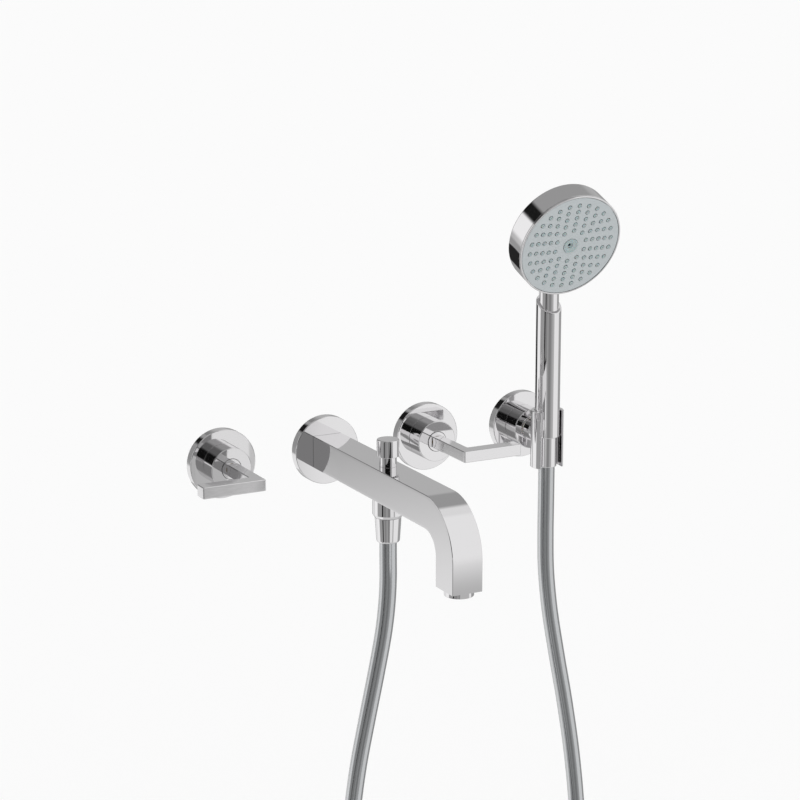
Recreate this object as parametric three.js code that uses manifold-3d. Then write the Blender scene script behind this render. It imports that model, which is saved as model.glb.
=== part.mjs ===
// Wall mounted bath faucet with a bath spout, two lever valves, a pull-up diverter and a hand shower.
// Units are millimetres, +Z is up. The wall is the plane Y = 0 and the faucet stands out along -Y.
// The origin is the middle of the spout's rosette on the wall.
import * as THREE from 'three';
import { mergeVertices } from 'three/addons/utils/BufferGeometryUtils.js';
import Module from 'manifold-3d';

const wasm = await Module();
wasm.setup();

// ---------- driving dimensions ----------
const VALVE_PITCH = 98; // spout axis to each valve axis
const HOLDER_PITCH = 97; // cold valve axis to the shower holder axis
const TOUCH_GAP = 0.3; // left between two pieces that touch
const RUN_GAP = 0.3; // radial play of a piece that turns or slides in another
const ROUND = 28; // sides of a large turned piece
const FINE_ROUND = 40; // sides of the widest turned pieces
const SMALL_ROUND = 16; // sides of a small turned piece

const ROSETTE_RADIUS = 30;
const ROSETTE_FACE = 9.5; // wall to the rosette's front face
const ROSETTE_SKIN = 2.5;
const ROSETTE_ROOM = 2.1; // between the rosette's rim and the wall plate in it
const GASKET_THICKNESS = 1;
const GASKET_INSET = 0.6;
const GASKET_ROOM = 1.3; // between the gasket's bore and the wall screws

const HUB_RADIUS = 18.1;
const HUB_LENGTH = 17.8;
const HUB_SKIN = 3;

const BONNET_CLEARANCE = 2.4; // between the hub's wall and the bonnet in it
const BONNET_RADIUS = HUB_RADIUS - HUB_SKIN - BONNET_CLEARANCE;
const BONNET_WALL = 3;
const BONNET_NECK = 6; // length of the bonnet's narrow end
const SPINDLE_RADIUS = 4.7;
const SPINDLE_TIP_RADIUS = 2.7;
const SPINDLE_TIP_LENGTH = 12;
const CARTRIDGE_BASE = 4; // solid back of the ceramic cartridge
const COLLAR_RADIUS = 8.7;
const COLLAR_PROUD = 0.6;

const LEVER_REACH = 86; // wall to the front of the grip
const LEVER_LENGTH = 56; // length of the grip along X
const LEVER_HEIGHT = 10;
const LEVER_STEM_WIDTH = 10;
const LEVER_GRIP_DEPTH = 13;
const GRUB_RADIUS = 2;
const LEVER_TURN_ROOM = 0.4; // between the collar and the back of the lever

const SPOUT_WIDTH = 27;
const SPOUT_HEIGHT = 28;
const SPOUT_REACH = 260; // wall to the front of the spout
const SPOUT_DROP = 57; // spout axis to the end of the down leg
const SPOUT_BEND = 47; // outer radius of the bend
const SPOUT_WALL = 4.5;
const SPOUT_LIP = 1.2; // thinnest wall, around the aerator
const NIPPLE_WALL = 2.9;
const NIPPLE_DEPTH = 15; // how far the nipple stands in the spout
const WASHER_THICKNESS = 1.4;

const DIVERTER_OUT = 124; // wall to the diverter's axis
const DIVERTER_TRAVEL = 8;
const KNOB_RADIUS = 9.3;
const KNOB_HEIGHT = 14.5;
const BUSH_RADIUS = 7.25;
const BUSH_HEIGHT = 8.2;
const BUSH_THREAD_RADIUS = 5.7;
const ROD_RADIUS = 2.5;
const DISC_ROOM = 1.8; // between the diverter's disc and the walls of the channel
const DISC_THICKNESS = 2;
const SPRING_RADIUS = 4.4;
const SPRING_WIRE = 0.5;
const SPRING_TURNS = 3;
const SPRING_PITCH = 3 * SPRING_WIRE;

const HOSE_RADIUS = 7.25;

const OUTLET_STEP = 2; // how far the collar stands out past the nut under it
const OUTLET_HEIGHT = 15;
const OUTLET_SPIGOT_RADIUS = 9.2;
const OUTLET_THREAD_RADIUS = 8.4;
const OUTLET_THREAD_LENGTH = 8;
const OUTLET_BORE = 5.9;
const CHECK_VALVE_BORE = 2.5;
const HOSE_NUT_WALL = 2.4;
const HOSE_NUT_END_WALL = 2.05;
const HOSE_NUT_LENGTH = 22;

const AERATOR_PROUD = 4.8;
const AERATOR_LENGTH = 11.5;
const AERATOR_WALL = 1.7;
const AERATOR_JET_RADIUS = 1.5;

const CLIP_OUT = 52; // wall to the axis of the handset
const CLIP_WALL = 3.2;
const CLIP_TOP = 23;
const CLIP_BOTTOM = -28.5;
const CLIP_HOLD = 1.2; // how much narrower the clip's slot is than the handle
const CLIP_NECK_RADIUS = 11;
const CLIP_STEM_RADIUS = 5.5;
const FRICTION_RING_THICKNESS = 1;
const PLATE_THICKNESS = 2.7;
const PLATE_SCREW_RADIUS = 2.1;
const PLATE_SCREW_HEAD = 4; // radius
const PLATE_SCREW_HEAD_HEIGHT = 1.5;
const RETAINER_HEAD = 2; // height of the retaining screw's head

const HANDLE_WALL = 1.8;
const HANDLE_BOTTOM = -1;
const HANDLE_TOP = 118.4; // where the slanted top end crosses the handle's axis
const HANDLE_SLANT = 32; // degrees from level
const NECK_ROOM = 0.5; // between the neck and the handle's bore
const NECK_WALL = 2.2;
const NECK_OVERLAP = 20; // how far the neck stands in the handle
const INLET_LENGTH = 12;
const FERRULE_WALL = 1.15;
const FERRULE_ROOM = 0.5; // between the ferrule and the handle's bore
const FERRULE_LIFT = 14; // how far the ferrule stands in the handle
const WATERWAY_BORE = 4.2;
const WATERWAY_WALL = 1.6;

const HEAD_RADIUS = 48.5;
const HEAD_THICKNESS = 23;
const HEAD_SKIN = 2.4;
const HEAD_TILT = 21; // degrees, face turned down
const HEAD_HEIGHT = 175; // spout axis to the middle of the spray face
const HEAD_AHEAD = 35; // handset axis to the middle of the spray face
const NECK_RIDGE = 9; // how far the neck stands proud of the head's back
const TRIM_THICKNESS = 1.6;
const TRIM_WIDTH = 1.4;
const SPRAY_PLATE_THICKNESS = 1.3;
const NOZZLE_MAT_THICKNESS = 1.5;
const DISTRIBUTOR_THICKNESS = 2.2;
const CENTRE_NOZZLE_RADIUS = 6.7;
const CENTRE_NOZZLE_BORE = 1.4;

// The hose hangs from the outlet to the handset in one long loop.
const HOSE_POINTS = [
  [0, -124, -41], [0, -124, -62], [0, -124, -84], [-1, -123.5, -106], [-3.5, -122.5, -130],
  [-9, -120, -165], [-16, -117, -205], [-23, -113, -250], [-28, -109, -300], [-31, -105, -350],
  [-30, -101, -402], [-23, -97, -452], [-8, -93, -497], [16, -90, -535], [50, -88, -561],
  [90, -86, -572], [132, -83, -567], [170, -79, -546], [199, -75, -511], [217, -71, -465],
  [225, -67, -412], [226, -63, -358], [222, -59.5, -304], [215, -56.5, -252], [207, -54, -205],
  [200, -52.5, -162], [196, -52, -124], [195, -52, -92], [195, -52, -60], [195, -52, -29], [195, -52, 2],
];
const HOSE_SIDES = 10;
const HOSE_STEPS = 40;

// ---------- derived places ----------
const HUB_FACE = ROSETTE_FACE + HUB_LENGTH;
const HOLDER_X = VALVE_PITCH + HOLDER_PITCH;
const SPOUT_TOP = SPOUT_HEIGHT / 2;
const SPOUT_BOTTOM = -SPOUT_HEIGHT / 2;
const OUTLET_END = SPOUT_BOTTOM - OUTLET_HEIGHT;
const BUSH_TOP = SPOUT_TOP + BUSH_HEIGHT;
const CHANNEL_TOP = SPOUT_TOP - SPOUT_WALL;
const CHANNEL_FLOOR = SPOUT_BOTTOM + SPOUT_WALL;
const SPOUT_LEAST = Math.min(SPOUT_WIDTH, SPOUT_HEIGHT);
const HOSE_HOLE = HOSE_RADIUS + RUN_GAP;
const HOSE_NUT_END_RADIUS = HOSE_HOLE + HOSE_NUT_END_WALL;
const HOSE_NUT_TOP_RADIUS = OUTLET_THREAD_RADIUS + TOUCH_GAP + HOSE_NUT_WALL;
const OUTLET_RADIUS = HOSE_NUT_TOP_RADIUS + OUTLET_STEP;
const FERRULE_RADIUS = HOSE_HOLE + FERRULE_WALL;
const HANDLE_BORE = FERRULE_RADIUS + FERRULE_ROOM;
const HANDLE_RADIUS = HANDLE_BORE + HANDLE_WALL;
const NECK_RADIUS = HANDLE_BORE - NECK_ROOM;
const CLIP_BORE = HANDLE_RADIUS + RUN_GAP;
const CLIP_RADIUS = CLIP_BORE + CLIP_WALL;
const CLIP_SLOT = 2 * HANDLE_RADIUS - CLIP_HOLD;
const PLATE_SCREW_UP = BONNET_RADIUS + PLATE_SCREW_HEAD + TOUCH_GAP;
const GASKET_BORE = PLATE_SCREW_UP + PLATE_SCREW_RADIUS + GASKET_ROOM;

// ---------- materials ----------
function material(color, roughness, metalness) {
  return new THREE.MeshStandardMaterial({ color, roughness, metalness });
}

const chrome = material(0xd8dade, 0.06, 1);
const brass = material(0xb7924a, 0.35, 1);
const steel = material(0x9a9da0, 0.3, 1);
const rubber = material(0x1c1c1d, 0.8, 0);
const whitePlastic = material(0xe6e6e2, 0.5, 0);
const sprayGrey = material(0xb4b8ba, 0.45, 0);
const siliconeBlue = material(0x86979c, 0.6, 0);
const hoseSilver = material(0xb9bbbe, 0.25, 1);

// ---------- solids ----------
function signedVolume(position, index) {
  const a = new THREE.Vector3();
  const b = new THREE.Vector3();
  const c = new THREE.Vector3();
  let total = 0;
  for (let i = 0; i < index.length; i += 3) {
    a.fromBufferAttribute(position, index[i]);
    b.fromBufferAttribute(position, index[i + 1]);
    c.fromBufferAttribute(position, index[i + 2]);
    total += a.dot(b.cross(c));
  }
  return total / 6;
}

// Merges shared vertices, drops collapsed triangles and turns the faces outward.
function toManifold(geometry) {
  const bare = geometry.clone();
  bare.deleteAttribute('normal');
  bare.deleteAttribute('uv');
  const merged = mergeVertices(bare, 1e-4);
  const source = merged.index.array;
  const kept = [];
  for (let i = 0; i < source.length; i += 3) {
    const [a, b, c] = [source[i], source[i + 1], source[i + 2]];
    if (a !== b && b !== c && c !== a) kept.push(a, b, c);
  }
  if (signedVolume(merged.attributes.position, kept) < 0) kept.reverse();
  return new wasm.Manifold(new wasm.Mesh({
    numProp: 3,
    vertProperties: Float32Array.from(merged.attributes.position.array),
    triVerts: Uint32Array.from(kept),
  }));
}

function toGeometry(solid) {
  const mesh = solid.getMesh();
  const geometry = new THREE.BufferGeometry();
  geometry.setAttribute('position', new THREE.BufferAttribute(new Float32Array(mesh.vertProperties), 3));
  geometry.setIndex(new THREE.BufferAttribute(new Uint32Array(mesh.triVerts), 1));
  return geometry;
}

// A turned solid about the Y axis. The outline is a closed loop of [radius, distance from the wall].
function turned(outline, sides = ROUND) {
  const points = [...outline, outline[0]].map(([radius, out]) => new THREE.Vector2(radius, -out));
  return toManifold(new THREE.LatheGeometry(points, sides));
}

// A turned solid about the Z axis. The outline is a closed loop of [radius, height].
function upright(outline, sides = ROUND) {
  const points = [...outline, outline[0]].map(([radius, height]) => new THREE.Vector2(radius, height));
  return toManifold(new THREE.LatheGeometry(points, sides).rotateX(Math.PI / 2));
}

function disc(radius, from, to) {
  return [[0, from], [radius, from], [radius, to], [0, to]];
}

function ring(inner, outer, from, to) {
  return [[inner, from], [outer, from], [outer, to], [inner, to]];
}

function block(width, depth, height, x, y, z) {
  return toManifold(new THREE.BoxGeometry(width, depth, height).translate(x, y, z));
}

function extruded(shape, depth, steps = 6) {
  return toManifold(new THREE.ExtrudeGeometry(shape, { depth, bevelEnabled: false, curveSegments: steps }));
}

function piece(name, solid, look, place = [0, 0, 0]) {
  const mesh = new THREE.Mesh(toGeometry(solid), look);
  mesh.name = name;
  mesh.position.set(...place);
  return mesh;
}

function group(x, y, z, ...children) {
  const result = new THREE.Group();
  result.position.set(x, y, z);
  result.add(...children);
  return result;
}

// ---------- what every wall station has ----------
function gasket(name) {
  const outer = ROSETTE_RADIUS - GASKET_INSET;
  return piece(name, turned(ring(GASKET_BORE, outer, 0, GASKET_THICKNESS)), rubber);
}

function rosette(name, hole) {
  const inside = ROSETTE_FACE - ROSETTE_SKIN;
  const back = GASKET_THICKNESS + TOUCH_GAP;
  const rim = ROSETTE_RADIUS - ROSETTE_SKIN;
  const outline = [
    [hole, inside], [rim, inside], [rim, back],
    [ROSETTE_RADIUS, back], [ROSETTE_RADIUS, ROSETTE_FACE], [hole, ROSETTE_FACE],
  ];
  return piece(name, turned(outline, FINE_ROUND), chrome);
}

function hubShell(hole) {
  const inner = HUB_RADIUS - HUB_SKIN;
  const back = ROSETTE_FACE + TOUCH_GAP;
  return turned([
    [inner, back], [HUB_RADIUS, back], [HUB_RADIUS, HUB_FACE],
    [hole, HUB_FACE], [hole, HUB_FACE - HUB_SKIN], [inner, HUB_FACE - HUB_SKIN],
  ]);
}

// ---------- valves ----------
const BONNET_END = HUB_FACE - HUB_SKIN - 2 * TOUCH_GAP;
const LEVER_BACK = HUB_FACE + COLLAR_PROUD + LEVER_TURN_ROOM;

function bonnet(name) {
  const bore = SPINDLE_RADIUS + RUN_GAP;
  const inner = BONNET_RADIUS - BONNET_WALL;
  const step = BONNET_END - BONNET_NECK;
  return piece(name, turned([
    [inner, 0], [BONNET_RADIUS, 0], [BONNET_RADIUS, step],
    [COLLAR_RADIUS, BONNET_END], [bore, BONNET_END], [bore, step], [inner, step],
  ], 24), brass);
}

function cartridge(name) {
  const outer = BONNET_RADIUS - BONNET_WALL - TOUCH_GAP;
  const end = BONNET_END - BONNET_NECK - TOUCH_GAP;
  const bore = SPINDLE_RADIUS + RUN_GAP;
  return piece(name, turned([
    [0, TOUCH_GAP], [outer, TOUCH_GAP], [outer, end],
    [bore, end], [bore, CARTRIDGE_BASE], [0, CARTRIDGE_BASE],
  ], SMALL_ROUND), whitePlastic);
}

function spindle(name) {
  const start = CARTRIDGE_BASE + TOUCH_GAP;
  return piece(name, turned([
    [0, start], [SPINDLE_RADIUS, start], [SPINDLE_RADIUS, HUB_FACE], [SPINDLE_TIP_RADIUS, HUB_FACE],
    [SPINDLE_TIP_RADIUS, LEVER_BACK + SPINDLE_TIP_LENGTH], [0, LEVER_BACK + SPINDLE_TIP_LENGTH],
  ], SMALL_ROUND), brass);
}

function collar(name) {
  const from = BONNET_END + TOUCH_GAP;
  const outline = ring(SPINDLE_RADIUS + RUN_GAP, COLLAR_RADIUS, from, HUB_FACE + COLLAR_PROUD);
  return piece(name, turned(outline, 24), chrome);
}

function leverOutline(side) {
  const half = LEVER_STEM_WIDTH / 2;
  const inner = -side * half;
  const corners = [
    [inner, -LEVER_BACK], [inner, -LEVER_REACH], [inner + side * LEVER_LENGTH, -LEVER_REACH],
    [inner + side * LEVER_LENGTH, -LEVER_REACH + LEVER_GRIP_DEPTH],
    [side * half, -LEVER_REACH + LEVER_GRIP_DEPTH], [side * half, -LEVER_BACK],
  ];
  return new THREE.Shape(corners.map(([x, y]) => new THREE.Vector2(x, y)));
}

const LEVER_SCREW_OUT = LEVER_BACK + SPINDLE_TIP_LENGTH / 2;

function lever(name, side) {
  const bar = extruded(leverOutline(side), LEVER_HEIGHT).translate([0, 0, -LEVER_HEIGHT / 2]);
  const end = LEVER_BACK + SPINDLE_TIP_LENGTH + TOUCH_GAP;
  const bore = turned(disc(SPINDLE_TIP_RADIUS + TOUCH_GAP, HUB_FACE, end), SMALL_ROUND);
  const screwHole = upright(disc(GRUB_RADIUS + TOUCH_GAP, -LEVER_HEIGHT, 0), SMALL_ROUND)
    .translate([0, -LEVER_SCREW_OUT, 0]);
  return piece(name, bar.subtract(bore).subtract(screwHole), chrome);
}

function leverScrew(name) {
  const tip = -(SPINDLE_TIP_RADIUS + TOUCH_GAP);
  const solid = upright(disc(GRUB_RADIUS, -LEVER_HEIGHT / 2 + TOUCH_GAP, tip), 12);
  return piece(name, solid, steel, [0, -LEVER_SCREW_OUT, 0]);
}

function valve(prefix, side) {
  return group(
    side * VALVE_PITCH, 0, 0,
    gasket(`${prefix}_gasket`),
    rosette(`${prefix}_rosette`, BONNET_RADIUS + TOUCH_GAP),
    piece(`${prefix}_hub`, hubShell(COLLAR_RADIUS + TOUCH_GAP), chrome),
    bonnet(`${prefix}_bonnet`),
    cartridge(`${prefix}_cartridge`),
    spindle(`${prefix}_spindle`),
    collar(`${prefix}_collar`),
    lever(`${prefix}_lever`, side),
    leverScrew(`${prefix}_lever_screw`),
  );
}

// ---------- spout ----------
const NIPPLE_RADIUS = SPOUT_LEAST / 2 - NIPPLE_WALL - TOUCH_GAP;
const AERATOR_RADIUS = SPOUT_LEAST / 2 - SPOUT_LIP - TOUCH_GAP;
const ROOT_BORE_END = ROSETTE_FACE + NIPPLE_DEPTH + WASHER_THICKNESS + 2 * TOUCH_GAP;
const AERATOR_TOP = -SPOUT_DROP - AERATOR_PROUD + AERATOR_LENGTH;
const AERATOR_SEAT = AERATOR_TOP + WASHER_THICKNESS + 2 * TOUCH_GAP;

// Side view of the spout inset by a margin, drawn in (distance from the wall, height).
function spoutOutline(margin, start, end) {
  const top = SPOUT_TOP - margin;
  const bottom = SPOUT_BOTTOM + margin;
  const centreOut = SPOUT_REACH - SPOUT_BEND;
  const centreUp = SPOUT_TOP - SPOUT_BEND;
  const innerRadius = SPOUT_BEND - SPOUT_HEIGHT + margin;
  const shape = new THREE.Shape();
  shape.moveTo(start, bottom);
  shape.lineTo(centreOut, bottom);
  shape.absarc(centreOut, centreUp, innerRadius, Math.PI / 2, 0, true);
  shape.lineTo(centreOut + innerRadius, end);
  shape.lineTo(SPOUT_REACH - margin, end);
  shape.absarc(centreOut, centreUp, SPOUT_BEND - margin, 0, Math.PI / 2, false);
  shape.lineTo(start, top);
  return shape;
}

// Turns a side view into a solid of the given width along X, with the wall at Y = 0.
function acrossSpout(shape, width, steps) {
  return extruded(shape, width, steps)
    .translate([0, 0, -width / 2])
    .rotate([90, 0, 0])
    .rotate([0, 0, -90]);
}

function spoutBody() {
  const root = ROSETTE_FACE + TOUCH_GAP;
  const outside = acrossSpout(spoutOutline(0, root, -SPOUT_DROP), SPOUT_WIDTH, 14);
  const channelView = spoutOutline(SPOUT_WALL, ROOT_BORE_END - TOUCH_GAP, AERATOR_SEAT - TOUCH_GAP);
  const channel = acrossSpout(channelView, SPOUT_WIDTH - 2 * SPOUT_WALL, 8);
  const rootBore = turned(disc(NIPPLE_RADIUS + TOUCH_GAP, 0, ROOT_BORE_END), 24);
  const legOut = SPOUT_REACH - SPOUT_HEIGHT / 2;
  const aeratorBore = upright(disc(AERATOR_RADIUS + TOUCH_GAP, -SPOUT_DROP - 1, AERATOR_SEAT), 24)
    .translate([0, -legOut, 0]);
  const bushHole = upright(disc(BUSH_THREAD_RADIUS + TOUCH_GAP, CHANNEL_TOP - 1, SPOUT_TOP + 1), SMALL_ROUND);
  const spigotHole = upright(disc(OUTLET_SPIGOT_RADIUS + TOUCH_GAP, SPOUT_BOTTOM - 1, CHANNEL_FLOOR + 1), 20);
  const screwHole = upright(disc(GRUB_RADIUS + TOUCH_GAP, SPOUT_BOTTOM - 1, -NIPPLE_RADIUS), 12)
    .translate([0, -SPOUT_SCREW_OUT, 0]);
  return outside
    .subtract(channel)
    .subtract(rootBore)
    .subtract(aeratorBore)
    .subtract(bushHole.translate([0, -DIVERTER_OUT, 0]))
    .subtract(spigotHole.translate([0, -DIVERTER_OUT, 0]))
    .subtract(screwHole);
}

const SPOUT_SCREW_OUT = ROSETTE_FACE + NIPPLE_DEPTH / 2;

function spoutStation() {
  const nippleEnd = ROSETTE_FACE + NIPPLE_DEPTH;
  const washerFrom = nippleEnd + TOUCH_GAP;
  const screw = upright(disc(GRUB_RADIUS, SPOUT_BOTTOM + TOUCH_GAP, -NIPPLE_RADIUS - TOUCH_GAP), 12);
  const bore = NIPPLE_RADIUS - NIPPLE_WALL;
  const washer = ring(bore, NIPPLE_RADIUS, washerFrom, washerFrom + WASHER_THICKNESS);
  return [
    gasket('spout_gasket'),
    rosette('spout_rosette', NIPPLE_RADIUS + TOUCH_GAP),
    piece('spout_body', spoutBody(), chrome),
    piece('spout_nipple', turned(ring(bore, NIPPLE_RADIUS, 0, nippleEnd), 24), brass),
    piece('spout_washer', turned(washer, 24), rubber),
    piece('spout_screw', screw, steel, [0, -SPOUT_SCREW_OUT, 0]),
  ];
}

function aerator() {
  const inner = AERATOR_RADIUS - AERATOR_WALL;
  const low = -SPOUT_DROP - AERATOR_PROUD;
  const sealLow = AERATOR_TOP + TOUCH_GAP;
  const insert = inner - TOUCH_GAP;
  const insertLow = low + AERATOR_WALL;
  const jets = ring(AERATOR_JET_RADIUS, insert, insertLow, AERATOR_TOP - AERATOR_WALL);
  const seal = ring(inner, AERATOR_RADIUS, sealLow, sealLow + WASHER_THICKNESS);
  return group(
    0, -(SPOUT_REACH - SPOUT_HEIGHT / 2), 0,
    piece('aerator_housing', upright(ring(inner, AERATOR_RADIUS, low, AERATOR_TOP)), chrome),
    piece('aerator_insert', upright(jets, 24), whitePlastic),
    piece('aerator_seal', upright(seal, 24), rubber),
  );
}

// ---------- diverter ----------
const DISC_RADIUS = SPOUT_WIDTH / 2 - SPOUT_WALL - DISC_ROOM;
const SEAL_LOW = CHANNEL_FLOOR + TOUCH_GAP;
const DISC_LOW = SEAL_LOW + DISC_THICKNESS + TOUCH_GAP;
const SPRING_LOW = DISC_LOW + DISC_THICKNESS + TOUCH_GAP + SPRING_WIRE;
const KNOB_LOW = BUSH_TOP + TOUCH_GAP;
const ROD_TOP = KNOB_LOW + KNOB_HEIGHT / 2;

function knob() {
  const chamfer = 0.8;
  const high = KNOB_LOW + KNOB_HEIGHT;
  const bore = ROD_RADIUS + TOUCH_GAP;
  return upright([
    [bore, KNOB_LOW], [KNOB_RADIUS, KNOB_LOW], [KNOB_RADIUS, high - chamfer], [KNOB_RADIUS - chamfer, high],
    [0, high], [0, ROD_TOP + TOUCH_GAP], [bore, ROD_TOP + TOUCH_GAP],
  ], 28);
}

function bush() {
  const bore = ROD_RADIUS + RUN_GAP;
  const seat = SPOUT_TOP + TOUCH_GAP;
  return upright([
    [bore, CHANNEL_TOP], [BUSH_THREAD_RADIUS, CHANNEL_TOP], [BUSH_THREAD_RADIUS, seat],
    [BUSH_RADIUS, seat], [BUSH_RADIUS, BUSH_TOP], [bore, BUSH_TOP],
  ], 24);
}

class Coil extends THREE.Curve {
  getPoint(t) {
    const angle = t * SPRING_TURNS * 2 * Math.PI;
    const height = SPRING_LOW + t * SPRING_TURNS * SPRING_PITCH;
    return new THREE.Vector3(SPRING_RADIUS * Math.cos(angle), SPRING_RADIUS * Math.sin(angle), height);
  }
}

function polygon(radius, sides) {
  const corners = [];
  for (let i = 0; i < sides; i += 1) {
    const angle = (i / sides) * 2 * Math.PI;
    corners.push(new THREE.Vector2(radius * Math.cos(angle), radius * Math.sin(angle)));
  }
  return new THREE.Shape(corners);
}

function alongPath(path, radius, sides, steps) {
  return toManifold(new THREE.ExtrudeGeometry(polygon(radius, sides), { steps, extrudePath: path }));
}

function diverter() {
  const hole = ROD_RADIUS + TOUCH_GAP;
  return group(
    0, -DIVERTER_OUT, 0,
    piece('diverter_bush', bush(), chrome),
    piece('diverter_knob', knob(), chrome),
    piece('diverter_rod', upright(disc(ROD_RADIUS, SEAL_LOW, ROD_TOP), 12), steel),
    piece('diverter_disc', upright(ring(hole, DISC_RADIUS, DISC_LOW, DISC_LOW + DISC_THICKNESS), 20), brass),
    piece('diverter_seal', upright(ring(hole, DISC_RADIUS, SEAL_LOW, SEAL_LOW + DISC_THICKNESS), 20), rubber),
    piece('diverter_spring', alongPath(new Coil(), SPRING_WIRE, 5, 14 * SPRING_TURNS), steel),
  );
}

// ---------- hose outlet ----------
const OUTLET_THREAD_END = OUTLET_END - OUTLET_THREAD_LENGTH;
const NUT_SHOULDER = OUTLET_THREAD_END - WASHER_THICKNESS - 2 * TOUCH_GAP;

function outletCollar() {
  const seat = SPOUT_BOTTOM - TOUCH_GAP;
  return upright([
    [OUTLET_BORE, OUTLET_THREAD_END], [OUTLET_THREAD_RADIUS, OUTLET_THREAD_END],
    [OUTLET_THREAD_RADIUS, OUTLET_END], [OUTLET_RADIUS, OUTLET_END],
    [OUTLET_RADIUS, seat], [OUTLET_SPIGOT_RADIUS, seat],
    [OUTLET_SPIGOT_RADIUS, CHANNEL_FLOOR], [OUTLET_BORE, CHANNEL_FLOOR],
  ], 28);
}

function hoseNut() {
  const top = OUTLET_END - TOUCH_GAP;
  const low = OUTLET_END - HOSE_NUT_LENGTH;
  const threadBore = OUTLET_THREAD_RADIUS + TOUCH_GAP;
  return upright([
    [HOSE_HOLE, low], [HOSE_NUT_END_RADIUS, low], [HOSE_NUT_TOP_RADIUS, top],
    [threadBore, top], [threadBore, NUT_SHOULDER], [HOSE_HOLE, NUT_SHOULDER],
  ], 28);
}

function hoseOutlet() {
  const washerTop = OUTLET_THREAD_END - TOUCH_GAP;
  const washer = ring(OUTLET_BORE, OUTLET_THREAD_RADIUS, washerTop - WASHER_THICKNESS, washerTop);
  const checkValve = ring(CHECK_VALVE_BORE, OUTLET_BORE - TOUCH_GAP, OUTLET_END, SPOUT_BOTTOM);
  return group(
    0, -DIVERTER_OUT, 0,
    piece('outlet_collar', outletCollar(), chrome),
    piece('check_valve', upright(checkValve, SMALL_ROUND), whitePlastic),
    piece('outlet_washer', upright(washer, 20), rubber),
    piece('outlet_hose_nut', hoseNut(), chrome),
  );
}

// ---------- shower holder ----------
const CLIP_LOW_BORE = FERRULE_RADIUS + RUN_GAP + TOUCH_GAP;
const RING_FROM = HUB_FACE + TOUCH_GAP;
const NECK_FROM = RING_FROM + FRICTION_RING_THICKNESS + TOUCH_GAP;
const BOSS_BORE_FROM = ROSETTE_FACE - TOUCH_GAP;
const BOSS_END = HUB_FACE - HUB_SKIN - TOUCH_GAP;
const PLATE_BACK = GASKET_THICKNESS + TOUCH_GAP;
const PLATE_RADIUS = ROSETTE_RADIUS - ROSETTE_SKIN - ROSETTE_ROOM;
const STEM_FROM = BOSS_BORE_FROM + TOUCH_GAP;

function wallPlate() {
  const bore = CLIP_STEM_RADIUS + RUN_GAP;
  const plate = turned([
    [bore + 1, PLATE_BACK], [PLATE_RADIUS, PLATE_BACK], [PLATE_RADIUS, PLATE_BACK + PLATE_THICKNESS],
    [BONNET_RADIUS, PLATE_BACK + PLATE_THICKNESS], [BONNET_RADIUS, BOSS_END],
    [bore, BOSS_END], [bore, BOSS_BORE_FROM], [bore + 1, BOSS_BORE_FROM],
  ], 24);
  const hole = turned(disc(PLATE_SCREW_RADIUS + TOUCH_GAP, 0, ROSETTE_FACE), 12);
  return plate
    .subtract(hole.translate([0, 0, PLATE_SCREW_UP]))
    .subtract(hole.translate([0, 0, -PLATE_SCREW_UP]));
}

function wallScrew(name, height) {
  const head = PLATE_BACK + PLATE_THICKNESS + TOUCH_GAP;
  const top = head + PLATE_SCREW_HEAD_HEIGHT;
  const solid = turned([
    [0, 0], [PLATE_SCREW_RADIUS, 0], [PLATE_SCREW_RADIUS, head],
    [PLATE_SCREW_HEAD, head], [PLATE_SCREW_HEAD, top], [0, top],
  ], 12);
  return piece(name, solid, steel, [0, 0, height]);
}

const HUB_SCREW_OUT = (ROSETTE_FACE + BOSS_END) / 2 + 1;

function holderHub() {
  const hole = upright(disc(GRUB_RADIUS + TOUCH_GAP, -HUB_RADIUS - 1, -BONNET_RADIUS), 12);
  return hubShell(CLIP_STEM_RADIUS + RUN_GAP).subtract(hole.translate([0, -HUB_SCREW_OUT, 0]));
}

function clip() {
  const shell = upright(disc(CLIP_RADIUS, CLIP_BOTTOM, CLIP_TOP)).translate([0, -CLIP_OUT, 0]);
  const neck = turned(disc(CLIP_NECK_RADIUS, NECK_FROM, CLIP_OUT - CLIP_RADIUS / 2), 28);
  const stem = turned(disc(CLIP_STEM_RADIUS, STEM_FROM, NECK_FROM + 1), SMALL_ROUND);
  const ledge = HANDLE_BOTTOM - TOUCH_GAP;
  const bore = upright(disc(CLIP_BORE, ledge, CLIP_TOP + 1)).translate([0, -CLIP_OUT, 0]);
  const lowBore = upright(disc(CLIP_LOW_BORE, CLIP_BOTTOM - 1, CLIP_TOP)).translate([0, -CLIP_OUT, 0]);
  const height = CLIP_TOP - CLIP_BOTTOM + 2;
  const middle = (CLIP_TOP + CLIP_BOTTOM) / 2;
  const slot = block(CLIP_SLOT, CLIP_RADIUS + 1, height, 0, -CLIP_OUT - (CLIP_RADIUS + 1) / 2, middle);
  const screwHole = turned(disc(PLATE_SCREW_RADIUS + TOUCH_GAP, 0, HUB_FACE), 12);
  return shell.add(neck).add(stem).subtract(bore).subtract(lowBore).subtract(slot).subtract(screwHole);
}

function retainingScrew() {
  const start = STEM_FROM - TOUCH_GAP - RETAINER_HEAD;
  const underHead = STEM_FROM - 2 * TOUCH_GAP;
  const end = HUB_FACE - TOUCH_GAP;
  const headRadius = CLIP_STEM_RADIUS + RUN_GAP;
  return turned([
    [0, start], [headRadius, start], [headRadius, underHead],
    [PLATE_SCREW_RADIUS, underHead], [PLATE_SCREW_RADIUS, end], [0, end],
  ], 12);
}

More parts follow.
